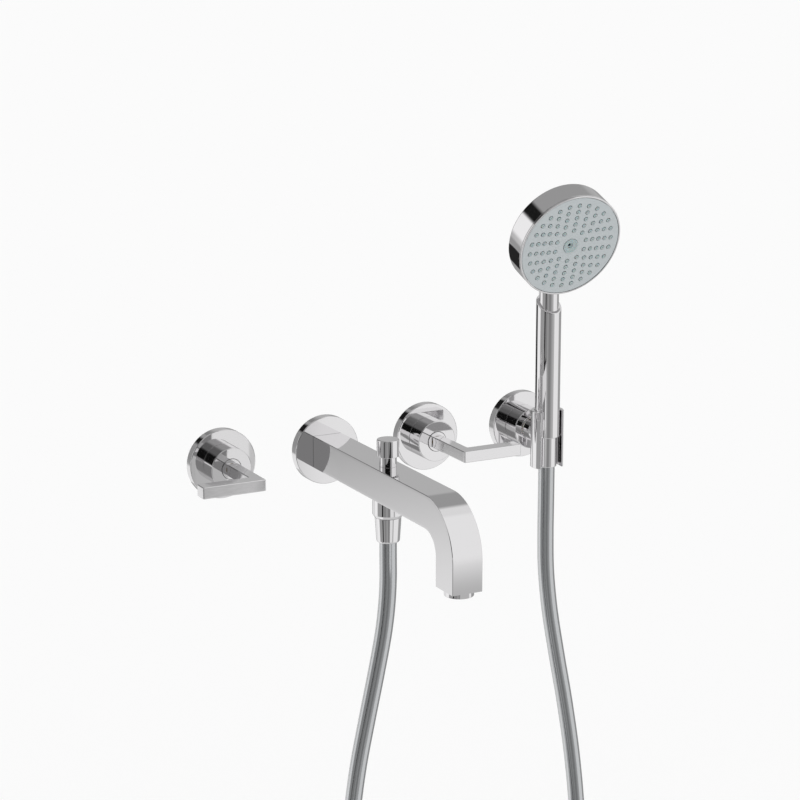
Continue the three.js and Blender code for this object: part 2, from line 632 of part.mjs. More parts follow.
function holder() {
  const screw = upright(disc(GRUB_RADIUS, -HUB_RADIUS + TOUCH_GAP, -BONNET_RADIUS - TOUCH_GAP), 12);
  const ringEnd = RING_FROM + FRICTION_RING_THICKNESS;
  const frictionRing = ring(CLIP_STEM_RADIUS + RUN_GAP, CLIP_NECK_RADIUS - 1, RING_FROM, ringEnd);
  return group(
    HOLDER_X, 0, 0,
    gasket('holder_gasket'),
    rosette('holder_rosette', BONNET_RADIUS + TOUCH_GAP),
    piece('holder_wall_plate', wallPlate(), brass),
    wallScrew('holder_screw_upper', PLATE_SCREW_UP),
    wallScrew('holder_screw_lower', -PLATE_SCREW_UP),
    piece('holder_hub', holderHub(), chrome),
    piece('holder_hub_screw', screw, steel, [0, -HUB_SCREW_OUT, 0]),
    piece('holder_friction_ring', turned(frictionRing, 24), whitePlastic),
    piece('holder_retaining_screw', retainingScrew(), steel),
    piece('handset_clip', clip(), chrome),
  );
}

// ---------- handset ----------
const INLET_FROM = HANDLE_BOTTOM + FERRULE_LIFT + TOUCH_GAP;
const NECK_FROM_Z = HANDLE_TOP - NECK_OVERLAP;
const INLET_SPIGOT_RADIUS = FERRULE_RADIUS - 2;
const INLET_SPIGOT_LENGTH = 8;
const HOSE_TOP = HOSE_POINTS[HOSE_POINTS.length - 1][2];

function handleTube() {
  const rise = HANDLE_RADIUS + 2;
  const tube = upright(ring(HANDLE_BORE, HANDLE_RADIUS, HANDLE_BOTTOM, HANDLE_TOP + rise), 28);
  const size = 8 * HANDLE_RADIUS;
  const cutter = toManifold(
    new THREE.BoxGeometry(size, size, size)
      .translate(0, 0, size / 2)
      .rotateX(THREE.MathUtils.degToRad(HANDLE_SLANT))
      .translate(0, 0, HANDLE_TOP),
  );
  return tube.subtract(cutter);
}

function handleInlet() {
  const spigotLow = INLET_FROM - INLET_SPIGOT_LENGTH;
  return upright([
    [WATERWAY_BORE, spigotLow], [INLET_SPIGOT_RADIUS, spigotLow], [INLET_SPIGOT_RADIUS, INLET_FROM],
    [HANDLE_BORE - TOUCH_GAP, INLET_FROM], [HANDLE_BORE - TOUCH_GAP, INLET_FROM + INLET_LENGTH],
    [WATERWAY_BORE, INLET_FROM + INLET_LENGTH],
  ], 20);
}

function waterway() {
  const low = INLET_FROM + INLET_LENGTH + TOUCH_GAP;
  const outer = WATERWAY_BORE + WATERWAY_WALL;
  return upright(ring(WATERWAY_BORE, outer, low, NECK_FROM_Z - TOUCH_GAP), SMALL_ROUND);
}

function ferrule() {
  const high = HANDLE_BOTTOM + FERRULE_LIFT;
  const threadBore = INLET_SPIGOT_RADIUS + TOUCH_GAP;
  const step = HOSE_TOP + TOUCH_GAP;
  return upright([
    [HOSE_HOLE, CLIP_BOTTOM + TOUCH_GAP], [FERRULE_RADIUS, CLIP_BOTTOM + TOUCH_GAP], [FERRULE_RADIUS, high],
    [threadBore, high], [threadBore, step], [HOSE_HOLE, step],
  ], 24);
}

function headShell() {
  const back = HEAD_THICKNESS;
  const front = TRIM_THICKNESS + TOUCH_GAP;
  const inner = HEAD_RADIUS - HEAD_SKIN;
  const tilted = [HEAD_TILT, 0, 0];
  const size = 6 * HEAD_RADIUS;
  const halfSpace = (y, towards) => block(size, size, size, 0, y + (towards * size) / 2, 0).rotate(tilted);
  const neckLow = NECK_FROM_Z - HEAD_HEIGHT;
  const post = (radius, low, sides) => (
    upright(disc(radius, low, HEAD_RADIUS), sides).translate([0, HEAD_AHEAD, 0])
  );
  const drum = turned(disc(HEAD_RADIUS, -back, -front), FINE_ROUND).rotate(tilted);
  const cavity = turned(disc(inner, -back + HEAD_SKIN, 0), FINE_ROUND).rotate(tilted);
  const neck = post(NECK_RADIUS, neckLow, ROUND)
    .subtract(halfSpace(back + NECK_RIDGE, 1));
  const channel = post(NECK_RADIUS - NECK_WALL, neckLow - 1, SMALL_ROUND)
    .subtract(halfSpace(back + NECK_RIDGE - HEAD_SKIN, 1));
  return drum.add(neck).subtract(cavity).subtract(channel);
}

function sprayFace() {
  const result = new THREE.Group();
  const plateRadius = HEAD_RADIUS - TRIM_WIDTH - TOUCH_GAP;
  const plateFront = -TOUCH_GAP;
  const matFront = plateFront - SPRAY_PLATE_THICKNESS - TOUCH_GAP;
  const distributorFront = matFront - NOZZLE_MAT_THICKNESS - TOUCH_GAP;
  const hole = CENTRE_NOZZLE_RADIUS + TOUCH_GAP;
  const innerRadius = HEAD_RADIUS - HEAD_SKIN - TOUCH_GAP;
  const trim = ring(HEAD_RADIUS - TRIM_WIDTH, HEAD_RADIUS, 0, -TRIM_THICKNESS);
  const plate = ring(hole, plateRadius, plateFront, plateFront - SPRAY_PLATE_THICKNESS);
  const mat = ring(hole, innerRadius, matFront, matFront - NOZZLE_MAT_THICKNESS);
  const distributorBack = distributorFront - DISTRIBUTOR_THICKNESS;
  const distributor = ring(WATERWAY_BORE, innerRadius, distributorFront, distributorBack);
  const nozzle = ring(CENTRE_NOZZLE_BORE, CENTRE_NOZZLE_RADIUS, 0, distributorFront + TOUCH_GAP);
  result.add(
    piece('head_trim_ring', turned(trim, FINE_ROUND), chrome),
    piece('spray_plate', turned(plate, FINE_ROUND), sprayGrey),
    piece('nozzle_mat', turned(mat, 32), siliconeBlue),
    piece('water_distributor', turned(distributor, 32), whitePlastic),
    piece('centre_nozzle', turned(nozzle, 20), siliconeBlue),
  );
  result.rotation.x = THREE.MathUtils.degToRad(HEAD_TILT);
  return result;
}

function handset() {
  const washerTop = INLET_FROM - INLET_SPIGOT_LENGTH - TOUCH_GAP;
  const washer = ring(WATERWAY_BORE, INLET_SPIGOT_RADIUS, washerTop - WASHER_THICKNESS, washerTop);
  const head = group(
    0, -HEAD_AHEAD, HEAD_HEIGHT,
    piece('head_shell', headShell(), chrome),
    sprayFace(),
  );
  return group(
    HOLDER_X, -CLIP_OUT, 0,
    piece('handle_tube', handleTube(), chrome),
    piece('handle_inlet', handleInlet(), brass),
    piece('handle_waterway', waterway(), whitePlastic),
    piece('handset_hose_nut', ferrule(), chrome),
    piece('handset_washer', upright(washer, SMALL_ROUND), rubber),
    head,
  );
}

// ---------- hose ----------
function hose() {
  const points = HOSE_POINTS.map((point) => new THREE.Vector3(...point));
  const path = new THREE.CatmullRomCurve3(points, false, 'centripetal');
  return piece('hose_tube', alongPath(path, HOSE_RADIUS, HOSE_SIDES, HOSE_STEPS), hoseSilver);
}

const faucet = new THREE.Group();
faucet.name = 'bath_faucet';
faucet.add(
  valve('left', -1),
  valve('right', 1),
  ...spoutStation(),
  aerator(),
  diverter(),
  hoseOutlet(),
  holder(),
  handset(),
  hose(),
);

export default faucet;
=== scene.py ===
"""Bath faucet: fine surfaces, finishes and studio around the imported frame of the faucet."""
import bmesh
import bpy
from bpy.props import FloatProperty, FloatVectorProperty, IntProperty, PointerProperty
from bpy.types import Operator, Panel, PropertyGroup
from math import acos, asin, ceil, copysign, cos, hypot, pi, radians, sin, sqrt, tan
from mathutils import Matrix, Vector
from mathutils.geometry import delaunay_2d_cdt


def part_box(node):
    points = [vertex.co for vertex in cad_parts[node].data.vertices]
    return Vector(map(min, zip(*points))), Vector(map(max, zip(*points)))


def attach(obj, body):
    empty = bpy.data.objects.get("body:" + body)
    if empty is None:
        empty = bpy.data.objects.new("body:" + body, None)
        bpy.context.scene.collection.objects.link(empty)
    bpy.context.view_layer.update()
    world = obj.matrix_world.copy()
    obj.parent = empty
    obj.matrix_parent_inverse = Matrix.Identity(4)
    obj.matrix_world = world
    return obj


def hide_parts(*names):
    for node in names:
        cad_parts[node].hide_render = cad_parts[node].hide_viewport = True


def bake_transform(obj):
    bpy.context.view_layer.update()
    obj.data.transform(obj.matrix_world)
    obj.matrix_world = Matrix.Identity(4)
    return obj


bl_info = {
    "name": "Bath Faucet",
    "version": (1, 0, 0),
    "blender": (4, 5, 0),
    "location": "3D View > Sidebar > Faucet",
    "description": "Turns, bends and plates the pieces of a wall mounted bath faucet",
    "category": "Object",
}

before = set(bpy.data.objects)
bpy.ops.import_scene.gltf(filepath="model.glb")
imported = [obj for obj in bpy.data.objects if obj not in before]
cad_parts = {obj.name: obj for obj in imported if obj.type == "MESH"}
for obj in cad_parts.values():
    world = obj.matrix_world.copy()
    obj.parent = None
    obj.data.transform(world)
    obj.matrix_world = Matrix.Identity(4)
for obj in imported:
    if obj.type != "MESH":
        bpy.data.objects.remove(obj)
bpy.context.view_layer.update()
MM = 0.001


# ---------- places read from the frame ----------
def middle(node):
    low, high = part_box(node)
    return (low + high) / 2


def radius_of(node):
    low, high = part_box(node)
    return (high.x - low.x) / 2 / MM


def out_of(node):
    """How far from the wall a piece starts and ends, and its radius, in millimetres."""
    low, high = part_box(node)
    return -high.y / MM, -low.y / MM, radius_of(node)


def up_of(node):
    """The lowest and highest point of a piece and its radius, in millimetres."""
    low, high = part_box(node)
    return low.z / MM, high.z / MM, radius_of(node)


STATIONS = {name: middle(name + "_rosette").x / MM for name in ("left", "spout", "right", "holder")}
VALVES = {"left": -1, "right": 1}  # which way each grip points
TILT = radians(21)  # the shower head's face looks down by this much
SLANT = radians(32)  # slope of the handle's top end


def from_wall(x, out=0, up=0):
    """Stands a turned piece on the wall, with its height running out into the room."""
    return Matrix.Translation((x, -out, up)) @ Matrix.Rotation(pi / 2, 4, "X")


def standing(x, out, up=0):
    return Matrix.Translation((x, -out, up))


def axis_of(node):
    """The upright axis of a piece."""
    centre = middle(node) / MM
    return standing(centre.x, -centre.y)


# ---------- sizes and colours ----------
def linear(hex_colour):
    """A linear colour from an sRGB hex value."""
    steps = [int(hex_colour[i:i + 2], 16) / 255 for i in (1, 3, 5)]
    return [s / 12.92 if s <= 0.04045 else ((s + 0.055) / 1.055) ** 2.4 for s in steps]


def colour(name, hex_colour, description):
    return FloatVectorProperty(
        name=name, description=description, subtype="COLOR", size=3, min=0, max=1, default=linear(hex_colour))


def millimetres(name, value, description):
    return FloatProperty(
        name=name, description=description, default=value, min=0, soft_max=100)


class FaucetSizes(PropertyGroup):
    plate_edge: millimetres("Rosette edge", 0.7, "Radius of the rosettes' front edge, in mm")
    hub_edge: millimetres("Hub edge", 0.6, "Radius of the hubs' front edge, in mm")
    lever_edge: millimetres("Lever edge", 0.8, "Radius along the levers' edges, in mm")
    spout_edge: millimetres("Spout edge", 0.6, "Radius along the spout's four edges, in mm")
    clip_edge: millimetres("Clip edge", 0.6, "Radius of the clip's rims and lips, in mm")
    head_edge: millimetres("Head edge", 1.6, "Radius of the shower head's back edge, in mm")
    hose_length: FloatProperty(
        name="Hose length", description="Length of the hose from nut to nut", default=1.245, unit="LENGTH")
    nozzle_rings: IntProperty(
        name="Nozzle rings", description="Rings of spray nozzles on the head", default=5, min=1, max=8)


class FaucetFinishes(PropertyGroup):
    chrome: colour("Chrome", "#eeedee", "Bright chrome plate")
    brass: colour("Brass", "#c9a45c", "Bare machined brass")
    steel: colour("Stainless steel", "#a9acae", "Machined stainless steel")
    rubber: colour("Rubber", "#1b1b1c", "Moulded black rubber")
    acetal: colour("Acetal", "#e8e7e1", "White moulded acetal")
    spray_face: colour("Spray face", "#b9bfc1", "Satin grey moulded ABS")
    silicone: colour("Silicone", "#a9b6b7", "Pale blue-grey silicone")
    hose: colour("Hose", "#c9cbcd", "Silver foil under clear vinyl")
    floor: colour("Floor", "#fbfbfb", "Plain studio floor")


class StudioSettings(PropertyGroup):
    azimuth: FloatProperty(
        name="Azimuth", description="Camera's turn to the left of the faucet's front",
        default=radians(27.5), subtype="ANGLE")
    elevation: FloatProperty(
        name="Elevation", description="Camera's height angle", default=radians(13.93), subtype="ANGLE")
    distance: FloatProperty(
        name="Distance", description="Camera to the point that it aims at", default=2.2, unit="LENGTH")
    aim: FloatVectorProperty(
        name="Aim", description="Point in the middle of the frame", default=(0.0641, -0.0222, 0.0401),
        subtype="XYZ", unit="LENGTH")
    lens: FloatProperty(
        name="Lens", description="Focal length in millimetres", default=114.2)
    floor_drop: FloatProperty(
        name="Floor drop", description="Wall axis down to the floor", default=0.62, unit="LENGTH")


# ---------- outlines ----------
def rounded(corners, steps=6):
    """A closed outline from corners (x, y, radius), each turned with its own radius."""
    points = []
    for i, (x, y, radius) in enumerate(corners):
        here = Vector((x, y))
        before = (Vector(corners[i - 1][:2]) - here).normalized()
        after = (Vector(corners[(i + 1) % len(corners)][:2]) - here).normalized()
        half = acos(max(-1, min(1, before.dot(after)))) / 2
        if not radius or half < 0.01 or half > 1.56:
            points.append((x, y))
            continue
        middle_way = (before + after).normalized()
        centre = here + middle_way * radius / sin(half)
        start = here + before * radius / tan(half) - centre
        sweep = pi - 2 * half
        if before.x * after.y - before.y * after.x > 0:
            sweep = -sweep
        for k in range(steps + 1):
            turn = sweep * k / steps
            points.append((
                centre.x + start.x * cos(turn) - start.y * sin(turn),
                centre.y + start.x * sin(turn) + start.y * cos(turn),
            ))
    return points


def divided(points, longest):
    """The same closed outline with no side longer than the given length."""
    result = []
    for i, (x, y) in enumerate(points):
        x2, y2 = points[(i + 1) % len(points)]
        parts = max(1, ceil(hypot(x2 - x, y2 - y) / longest))
        result += [(x + (x2 - x) * k / parts, y + (y2 - y) * k / parts) for k in range(parts)]
    return result


def inset(points, margin):
    """A closed outline moved inward by a margin, point for point."""
    area = sum(x * points[(i + 1) % len(points)][1] - points[(i + 1) % len(points)][0] * y
               for i, (x, y) in enumerate(points))
    side = copysign(1, area)
    result = []
    for i, (x, y) in enumerate(points):
        here = Vector((x, y))
        ahead = (Vector(points[(i + 1) % len(points)]) - here).normalized()
        behind = (here - Vector(points[i - 1])).normalized()
        normal = Vector((-ahead.y - behind.y, ahead.x + behind.x)) * side
        normal.normalize()
        lean = max(0.3, normal.dot(Vector((-ahead.y, ahead.x)) * side))
        moved = here + normal * margin / lean
        result.append((moved.x, moved.y))
    return result


def circle(radius, sides, height=0.0):
    turns = [2 * pi * k / sides for k in range(sides)]
    return [Vector((radius * cos(a), radius * sin(a), height)) for a in turns]


# ---------- solids ----------
def stitch(mesh, rings, wrap=False):
    """Joins rings of points with faces; a ring of one point closes to a tip."""
    rows = [[mesh.verts.new(point) for point in ring] for ring in rings]
    pairs = list(zip(rows, rows[1:]))
    if wrap:
        pairs.append((rows[-1], rows[0]))
    for low, high in pairs:
        count = max(len(low), len(high))
        for i in range(count):
            j = (i + 1) % count
            face = [low[i % len(low)], low[j % len(low)], high[j % len(high)], high[i % len(high)]]
            face = list(dict.fromkeys(face))
            if len(face) > 2:
                mesh.faces.new(face)
    return rows


def capped(mesh, rings, place=None):
    """Joins rings of points and closes both ends."""
    rows = stitch(mesh, rings)
    mesh.faces.new(rows[0])
    mesh.faces.new(rows[-1])
    move(mesh, rows, place)


def move(mesh, rows, place):
    if place is not None:
        bmesh.ops.transform(mesh, matrix=place, verts=[v for row in rows for v in row])


def lathe(mesh, corners, place=None, sides=96, steps=6):
    """Turns a closed outline of (radius, height, edge radius) about its axis."""
    rings = [[Vector((0, 0, height))] if radius < 1e-6 else circle(radius, sides, height)
             for radius, height in rounded(corners, steps)]
    wrap = len(rings[0]) > 1 or len(rings[-1]) > 1
    move(mesh, stitch(mesh, rings, wrap), place)


def quarter(steps):
    """How far a turned edge has gone in, and how far up, at each step of a quarter turn."""
    turns = [pi / 2 * k / steps for k in range(steps + 1)]
    return [(1 - sin(turn), 1 - cos(turn)) for turn in turns]


def slab(mesh, points, low, high, low_edge, high_edge, place=None, steps=5):
    """A prism of a closed outline with its two rims turned."""
    rings = []
    for side, rise in quarter(steps):
        rings.append([Vector((x, y, low + low_edge * rise)) for x, y in inset(points, low_edge * side)])
    for side, drop in reversed(quarter(steps)):
        rings.append([Vector((x, y, high - high_edge * drop)) for x, y in inset(points, high_edge * side)])
    capped(mesh, rings, place)


def post(mesh, radius, low, top, slope, edge, place=None, sides=96, steps=6):
    """A round post whose top end is a plane that rises by slope along Y."""
    rings = [circle(radius - edge * side, sides, low + edge * rise) for side, rise in quarter(steps)]
    for drop, side in quarter(steps):
        ring = circle(radius - edge * side, sides)
        for point in ring:
            point.z = top + slope * point.y - edge * hypot(1, slope) * drop
        rings.append(ring)
    capped(mesh, rings, place)


def put(name, data):
    """Puts an object of some data in the scene."""
    thing = bpy.data.objects.new(name, data)
    bpy.context.scene.collection.objects.link(thing)
    return thing


def in_metres(mesh, name):
    """An object in metres of a mesh in millimetres, with its faces turned outward."""
    bmesh.ops.scale(mesh, vec=(MM, MM, MM), verts=mesh.verts)
    bmesh.ops.recalc_face_normals(mesh, faces=mesh.faces)
    data = bpy.data.meshes.new(name)
    mesh.to_mesh(data)
    mesh.free()
    return put(name, data)


def drill(piece, holes):
    """Cuts holes (radius, from, to, place, sides) into a piece."""
    mesh = bmesh.new()
    for radius, low, high, place, sides in holes:
        lathe(mesh, ring_section(0, radius, low, high, 0, 0, 0, 0), place, sides)
    bit = in_metres(mesh, "drill")
    cut = piece.modifiers.new("Drill", "BOOLEAN")
    cut.object = bit
    cut.solver = "EXACT"
    cut.operation = "DIFFERENCE"
    bpy.context.view_layer.update()
    depsgraph = bpy.context.evaluated_depsgraph_get()
    result = bpy.data.meshes.new_from_object(piece.evaluated_get(depsgraph))
    piece.modifiers.remove(cut)
    bpy.data.objects.remove(bit)
    piece.data = result


def finished(mesh, node, finish, body, holes=(), facing=None, name=None):
    """Makes a piece of a mesh in millimetres and fits it to the frame in place of a node.

    Faces that look along facing are left flat; without it the large faces set the shading."""
    piece = in_metres(mesh, name or "fine_" + node)
    if holes:
        drill(piece, holes)
    for face in piece.data.polygons:
        face.use_smooth = facing is None or abs(face.normal.dot(facing)) < 0.999
    piece.data.set_sharp_from_angle(angle=radians(32))
    if facing is None:
        normals = piece.modifiers.new("Face weighted normals", "WEIGHTED_NORMAL")
        normals.keep_sharp = True
    piece.data.materials.clear()
    piece.data.materials.append(FINISH[finish])
    if body:
        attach(piece, body)
    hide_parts(node)
    return piece


def ring_section(inner, outer, low, high, *edges):
    """Corners of a ring cut through, with the radius of each in turn, 0.3 mm if none is given."""
    a, b, c, d = edges or (0.3, 0.3, 0.3, 0.3)
    return [(inner, low, a), (outer, low, b), (outer, high, c), (inner, high, d)]


def ring_piece(node, inner, place, finish, body, sides=96, edges=(), outer=None, span=None):
    """Turns a plain ring as long as its node, or a plug if inner is 0."""
    low, high, radius = (span or up_of)(node)
    section = ring_section(inner, outer or radius, low, high, *edges)
    return turned_piece(node, section, place, finish, body, sides)


def turned_piece(node, corners, place, finish, body, sides=96, holes=()):
    mesh = bmesh.new()
    lathe(mesh, corners, place, sides)
    return finished(mesh, node, finish, body, holes)


# ---------- finishes ----------
def add_node(tree, kind, links=None, **settings):
    """Adds a shader node, sets its properties and values, and links its inputs to sockets or nodes."""
    node = tree.nodes.new("ShaderNode" + kind)
    for key, value in settings.items():
        setattr(node, key, value)
    for key, value in (links or {}).items():
        socket = node.inputs[key]
        if isinstance(value, bpy.types.Node):
            value = value.outputs[0]
        if isinstance(value, bpy.types.NodeSocket):
            tree.links.new(value, socket)
        else:
            socket.default_value = value
    return node


def new_finish(name, colour, metallic, gloss, grain=None, stretch=None, turned=False, **values):
    """A material with one principled shader, whose gloss varies in blotches over a fine grain.

    gloss is the blotches' size in mm, their detail, and the roughness from and to. grain is its size
    in mm, its detail and its depth in mm; a turned piece has tool marks instead."""
    finish = bpy.data.materials.new(name)
    finish.use_nodes = True
    finish.diffuse_color = (*colour, 1)
    tree = finish.node_tree
    shader = tree.nodes["Principled BSDF"]
    shader.inputs["Base Color"].default_value = (*colour, 1)
    shader.inputs["Metallic"].default_value = metallic
    for key, value in values.items():
        shader.inputs[key.replace("_", " ")].default_value = value
    place = add_node(tree, "TexCoord").outputs["Object"]
    if stretch:
        place = add_node(tree, "Mapping", {"Vector": place, "Scale": stretch})
    size_mm, detail, low, high = gloss
    blotches = add_node(tree, "TexNoise", {
        "Vector": place, "Scale": 1 / (size_mm * MM), "Detail": detail})
    rough = add_node(tree, "MapRange", {
        "Value": blotches, "From Min": 0.3, "From Max": 0.7, "To Min": low, "To Max": high})
    tree.links.new(rough.outputs["Result"], shader.inputs["Roughness"])
    if grain:
        size_mm, detail, depth_mm = grain
        if turned:
            skin = add_node(tree, "TexWave", {
                "Vector": place, "Scale": 1 / (size_mm * MM * 20), "Distortion": detail},
                bands_direction="DIAGONAL")
        else:
            skin = add_node(tree, "TexNoise", {
                "Vector": place, "Scale": 1 / (size_mm * MM), "Detail": detail})
        bump = add_node(tree, "Bump", {
            "Height": skin.outputs["Fac"], "Distance": depth_mm * MM, "Strength": 1.0})
        tree.links.new(bump.outputs["Normal"], shader.inputs["Normal"])
    return finish


FINISH = {}


class FAUCET_OT_finishes(Operator):
    """Mix the finishes of the faucet's metals, plastics and rubbers"""
    bl_idname = "bath_faucet.finishes"
    bl_label = "Finishes"

    def execute(self, context):
        colours = context.scene.faucet_finishes
        # Chrome plate over buffed brass: a mirror with the faintest haze where it was wiped dry.
        FINISH["chrome"] = new_finish("polished_chrome_plate", colours.chrome, 1.0, (14, 3, 0.025, 0.06))
        # Chrome over linished bar: fine lines along the grip soften the mirror across it.
        FINISH["drawn_chrome"] = new_finish(
            "linished_chrome_plate", colours.chrome, 1.0, (0.5, 3, 0.05, 0.13), (0.5, 3, 0.006),
            stretch=(0.06, 0.06, 1.0))
        # Metal turned on a lathe: fine tool marks that spread the highlight.
        FINISH["brass"] = new_finish(
            "machined_brass", colours.brass, 1.0, (3, 4, 0.224, 0.364), (0.25, 0.6, 0.004), turned=True)
        FINISH["steel"] = new_finish(
            "machined_stainless_steel", colours.steel, 1.0, (3, 4, 0.192, 0.312), (0.2, 0.6, 0.004),
            turned=True)
        # Moulded EPDM rubber: matt black with a dusty bloom.
        FINISH["rubber"] = new_finish(
            "moulded_epdm_rubber", colours.rubber, 0.0, (4, 4, 0.62, 0.85), (0.3, 2, 0.02))
        # Injection moulded acetal: dense white with a waxy sheen.
        FINISH["acetal"] = new_finish(
            "moulded_acetal", colours.acetal, 0.0, (2, 3, 0.36, 0.5), (0.6, 2, 0.008),
            IOR=1.48, Subsurface_Weight=0.08, Subsurface_Scale=1 * MM)
        # Moulded ABS with a fine spark-eroded texture: satin grey, a soft broad highlight.
        FINISH["spray_face"] = new_finish(
            "satin_moulded_abs", colours.spray_face, 0.0, (5, 3, 0.34, 0.46), (0.25, 2, 0.012), IOR=1.53)
        # Liquid silicone, moulded: a soft blue-grey skin with a dull shine and a little depth.
        FINISH["silicone"] = new_finish(
            "moulded_silicone", colours.silicone, 0.0, (1.5, 3, 0.42, 0.58), (0.4, 2, 0.01),
            IOR=1.41, Subsurface_Weight=0.12, Subsurface_Scale=1 * MM)
        # Silver foil wound under clear vinyl: a hard clear shine over a softer metal one.
        FINISH["hose"] = new_finish(
            "silver_foil_under_vinyl", colours.hose, 1.0, (2.5, 4, 0.14, 0.22), (1.2, 2, 0.01),
            Coat_Weight=1.0, Coat_Roughness=0.04, Coat_IOR=1.5)
        return {"FINISHED"}


# ---------- studio ----------
class FAUCET_OT_camera(Operator):
    """Set the camera up in front of the faucet and a little to its left"""
    bl_idname = "bath_faucet.camera"
    bl_label = "Camera"

    def execute(self, context):
        studio = context.scene.faucet_studio
        turn, rise = studio.azimuth, studio.elevation
        towards = Vector((-sin(turn) * cos(rise), -cos(turn) * cos(rise), sin(rise)))
        data = bpy.data.cameras.new("camera")
        data.lens = studio.lens
        data.sensor_width = 36
        camera = put("camera", data)
        camera.location = Vector(studio.aim) + towards * studio.distance
        camera.rotation_euler = towards.to_track_quat("Z", "Y").to_euler()
        context.scene.camera = camera
        context.scene.view_settings.view_transform = "Standard"
        return {"FINISHED"}


BASE_LEVEL = 0.34  # of the room between the panels

# Panels and flags round the set, seen only in the metal: brightness, the turn from the faucet's
# front (right is positive) from one side to the other, softness of the two sides, the lowest and
# highest angle, softness above and below, and how far the panel leans to the right as it rises.
PANELS = [
    (0.62, -180, 180, 5, -90, -28, 5, 0),  # pale floor in front of the set
    (0.46, 7, 40, 8, -40, 14, 6, 0),
    (0.87, 24.6, 80, 1.3, -40, 100, 6, 0),  # wide soft box at the right
    (0.36, 80, 128, 6, -40, 8, 8, 0),
    (0.78, 74, 114, 8, 8, 78, 8, 0),
    (0.24, -29, -6, 4, -40, 20, 6, 0),  # darker room behind the camera
    (0.85, -62, -14, 10, 44, 80, 8, 0),  # soft box above the left
    (0.25, -60, -42, 4, -40, 20, 6, 0),
    (0.12, -66, 4, 6, 0, 34, 7, 0),
    (0.005, -66, 2, 6, -1, 21, 2.5, 0),  # black curtain over the camera
    (0.85, -66, -8, 4, -5, -2.2, 1, 0),  # its pale lower hem
    (0.47, 132, 170, 6, 6, 25, 5, 0),  # pale wall seen by the tops
    (0.24, 170, 180, 5, 20, 40, 6, 0),
    (0.95, -146, -110, 3, -70, 28, 3, 0),  # strip light at the left
    (0.30, -180, -143, 3, -5, 18, 4, 0),
    (0.80, -180, -143, 3, -60, -16, 2.5, 0),
    (0.85, -180, -155.5, 1.5, -60, -2, 3, 0),
    (0.01, -172, -146, 3, 20, 47, 2, 0),  # black flag over the strip light
    (0.01, -150, -128, 3, 29, 47, 3, 0),
    (0.004, -58, -48, 2, -60, 30, 4, 0.9),  # narrow black flag
]


# Small cards close to the set, seen only in the metal: left, right, out from the wall, low and top
# in metres, brightness, and where the card starts to fade across and upward, from its middle (0)
# to its edge (0.5).
CARDS = [
    (-0.015, 0.035, 0.278, -0.14, -0.025, 0.50, 0.42, 0.15),  # grey, before the spout's leg
    (-0.19, 0.22, -0.60, -0.16, -0.005, 0.02, 0.42, 0.4),  # black, low behind the wall line
    (-0.02, 0.02, 0.218, -0.105, -0.022, 0.80, 0.48, 0.48),  # pale, behind the spout's leg
]


def studio_world(scene):
    """Soft white light all round; the metal also sees the panels and flags of the set."""
    world = bpy.data.worlds.new("studio")
    scene.world = world
    world.use_nodes = True
    tree = world.node_tree
    tree.nodes.clear()
    parts = add_node(tree, "SeparateXYZ", {"Vector": add_node(tree, "TexCoord").outputs["Generated"]})
    back = add_node(tree, "Math", {0: parts.outputs["Y"], 1: -1.0}, operation="MULTIPLY")
    around = add_node(tree, "Math", {0: parts.outputs["X"], 1: back}, operation="ARCTAN2")
    above = add_node(tree, "Math", {0: parts.outputs["Z"]}, operation="ARCSINE")

    def window(angle, low, high, soft):
        """A mask between two angles: it rises softly at the low one and falls at the high one."""
        slopes = [add_node(tree, "MapRange", {
            "Value": angle, "From Min": radians(edge - soft), "From Max": radians(edge + soft),
            "To Min": start, "To Max": 1.0 - start}, interpolation_type="SMOOTHSTEP")
            for edge, start in ((low, 0.0), (high, 1.0))]
        return add_node(tree, "Math", dict(enumerate(slopes)), operation="MULTIPLY")

    seen = add_node(tree, "Value")
    seen.outputs[0].default_value = BASE_LEVEL
    for brightness, left, right, side_soft, low, high, soft, lean in PANELS:
        turn = around
        if lean:
            leant = add_node(tree, "Math", {0: above, 1: lean}, operation="MULTIPLY")
            turn = add_node(tree, "Math", {0: around, 1: leant}, operation="SUBTRACT")
        # A side at half a turn is the seam behind the wall, which stays unbroken.
        across = window(turn, -200 if left == -180 else left, 200 if right == 180 else right, side_soft)
        up = window(above, -100 if low == -90 else low, high, soft)
        mask = add_node(tree, "Math", {0: across, 1: up}, operation="MULTIPLY")
        seen = add_node(tree, "Mix", {"Factor": mask, "A": seen, "B": brightness})
    glossy = add_node(tree, "LightPath").outputs["Is Glossy Ray"]
    chosen = add_node(tree, "Mix", {"Factor": glossy, "A": 1.0, "B": seen})
    light = add_node(tree, "Background", {"Color": chosen, "Strength": 1.0})
    add_node(tree, "OutputWorld", {"Surface": light})


class FAUCET_OT_stage(Operator):
    """Lay the pale floor and light the set softly from all round"""
    bl_idname = "bath_faucet.stage"
    bl_label = "Stage"

    def execute(self, context):
        studio = context.scene.faucet_studio
        mesh = bmesh.new()
        bmesh.ops.create_grid(mesh, x_segments=2, y_segments=2, size=40)
        data = bpy.data.meshes.new("studio_floor")
        mesh.to_mesh(data)
        mesh.free()
        floor = put("studio_floor", data)
        floor.location.z = -studio.floor_drop
        # Matt painted board: one plain pale tone.
        data.materials.append(new_finish(
            "matt_painted_board", context.scene.faucet_finishes.floor, 0.0, (400, 2, 0.85, 0.95),
            Specular_IOR_Level=0.0))
        floor.visible_glossy = False
        for card in CARDS:
            card_by_the_set(*card)
        studio_world(context.scene)
        return {"FINISHED"}


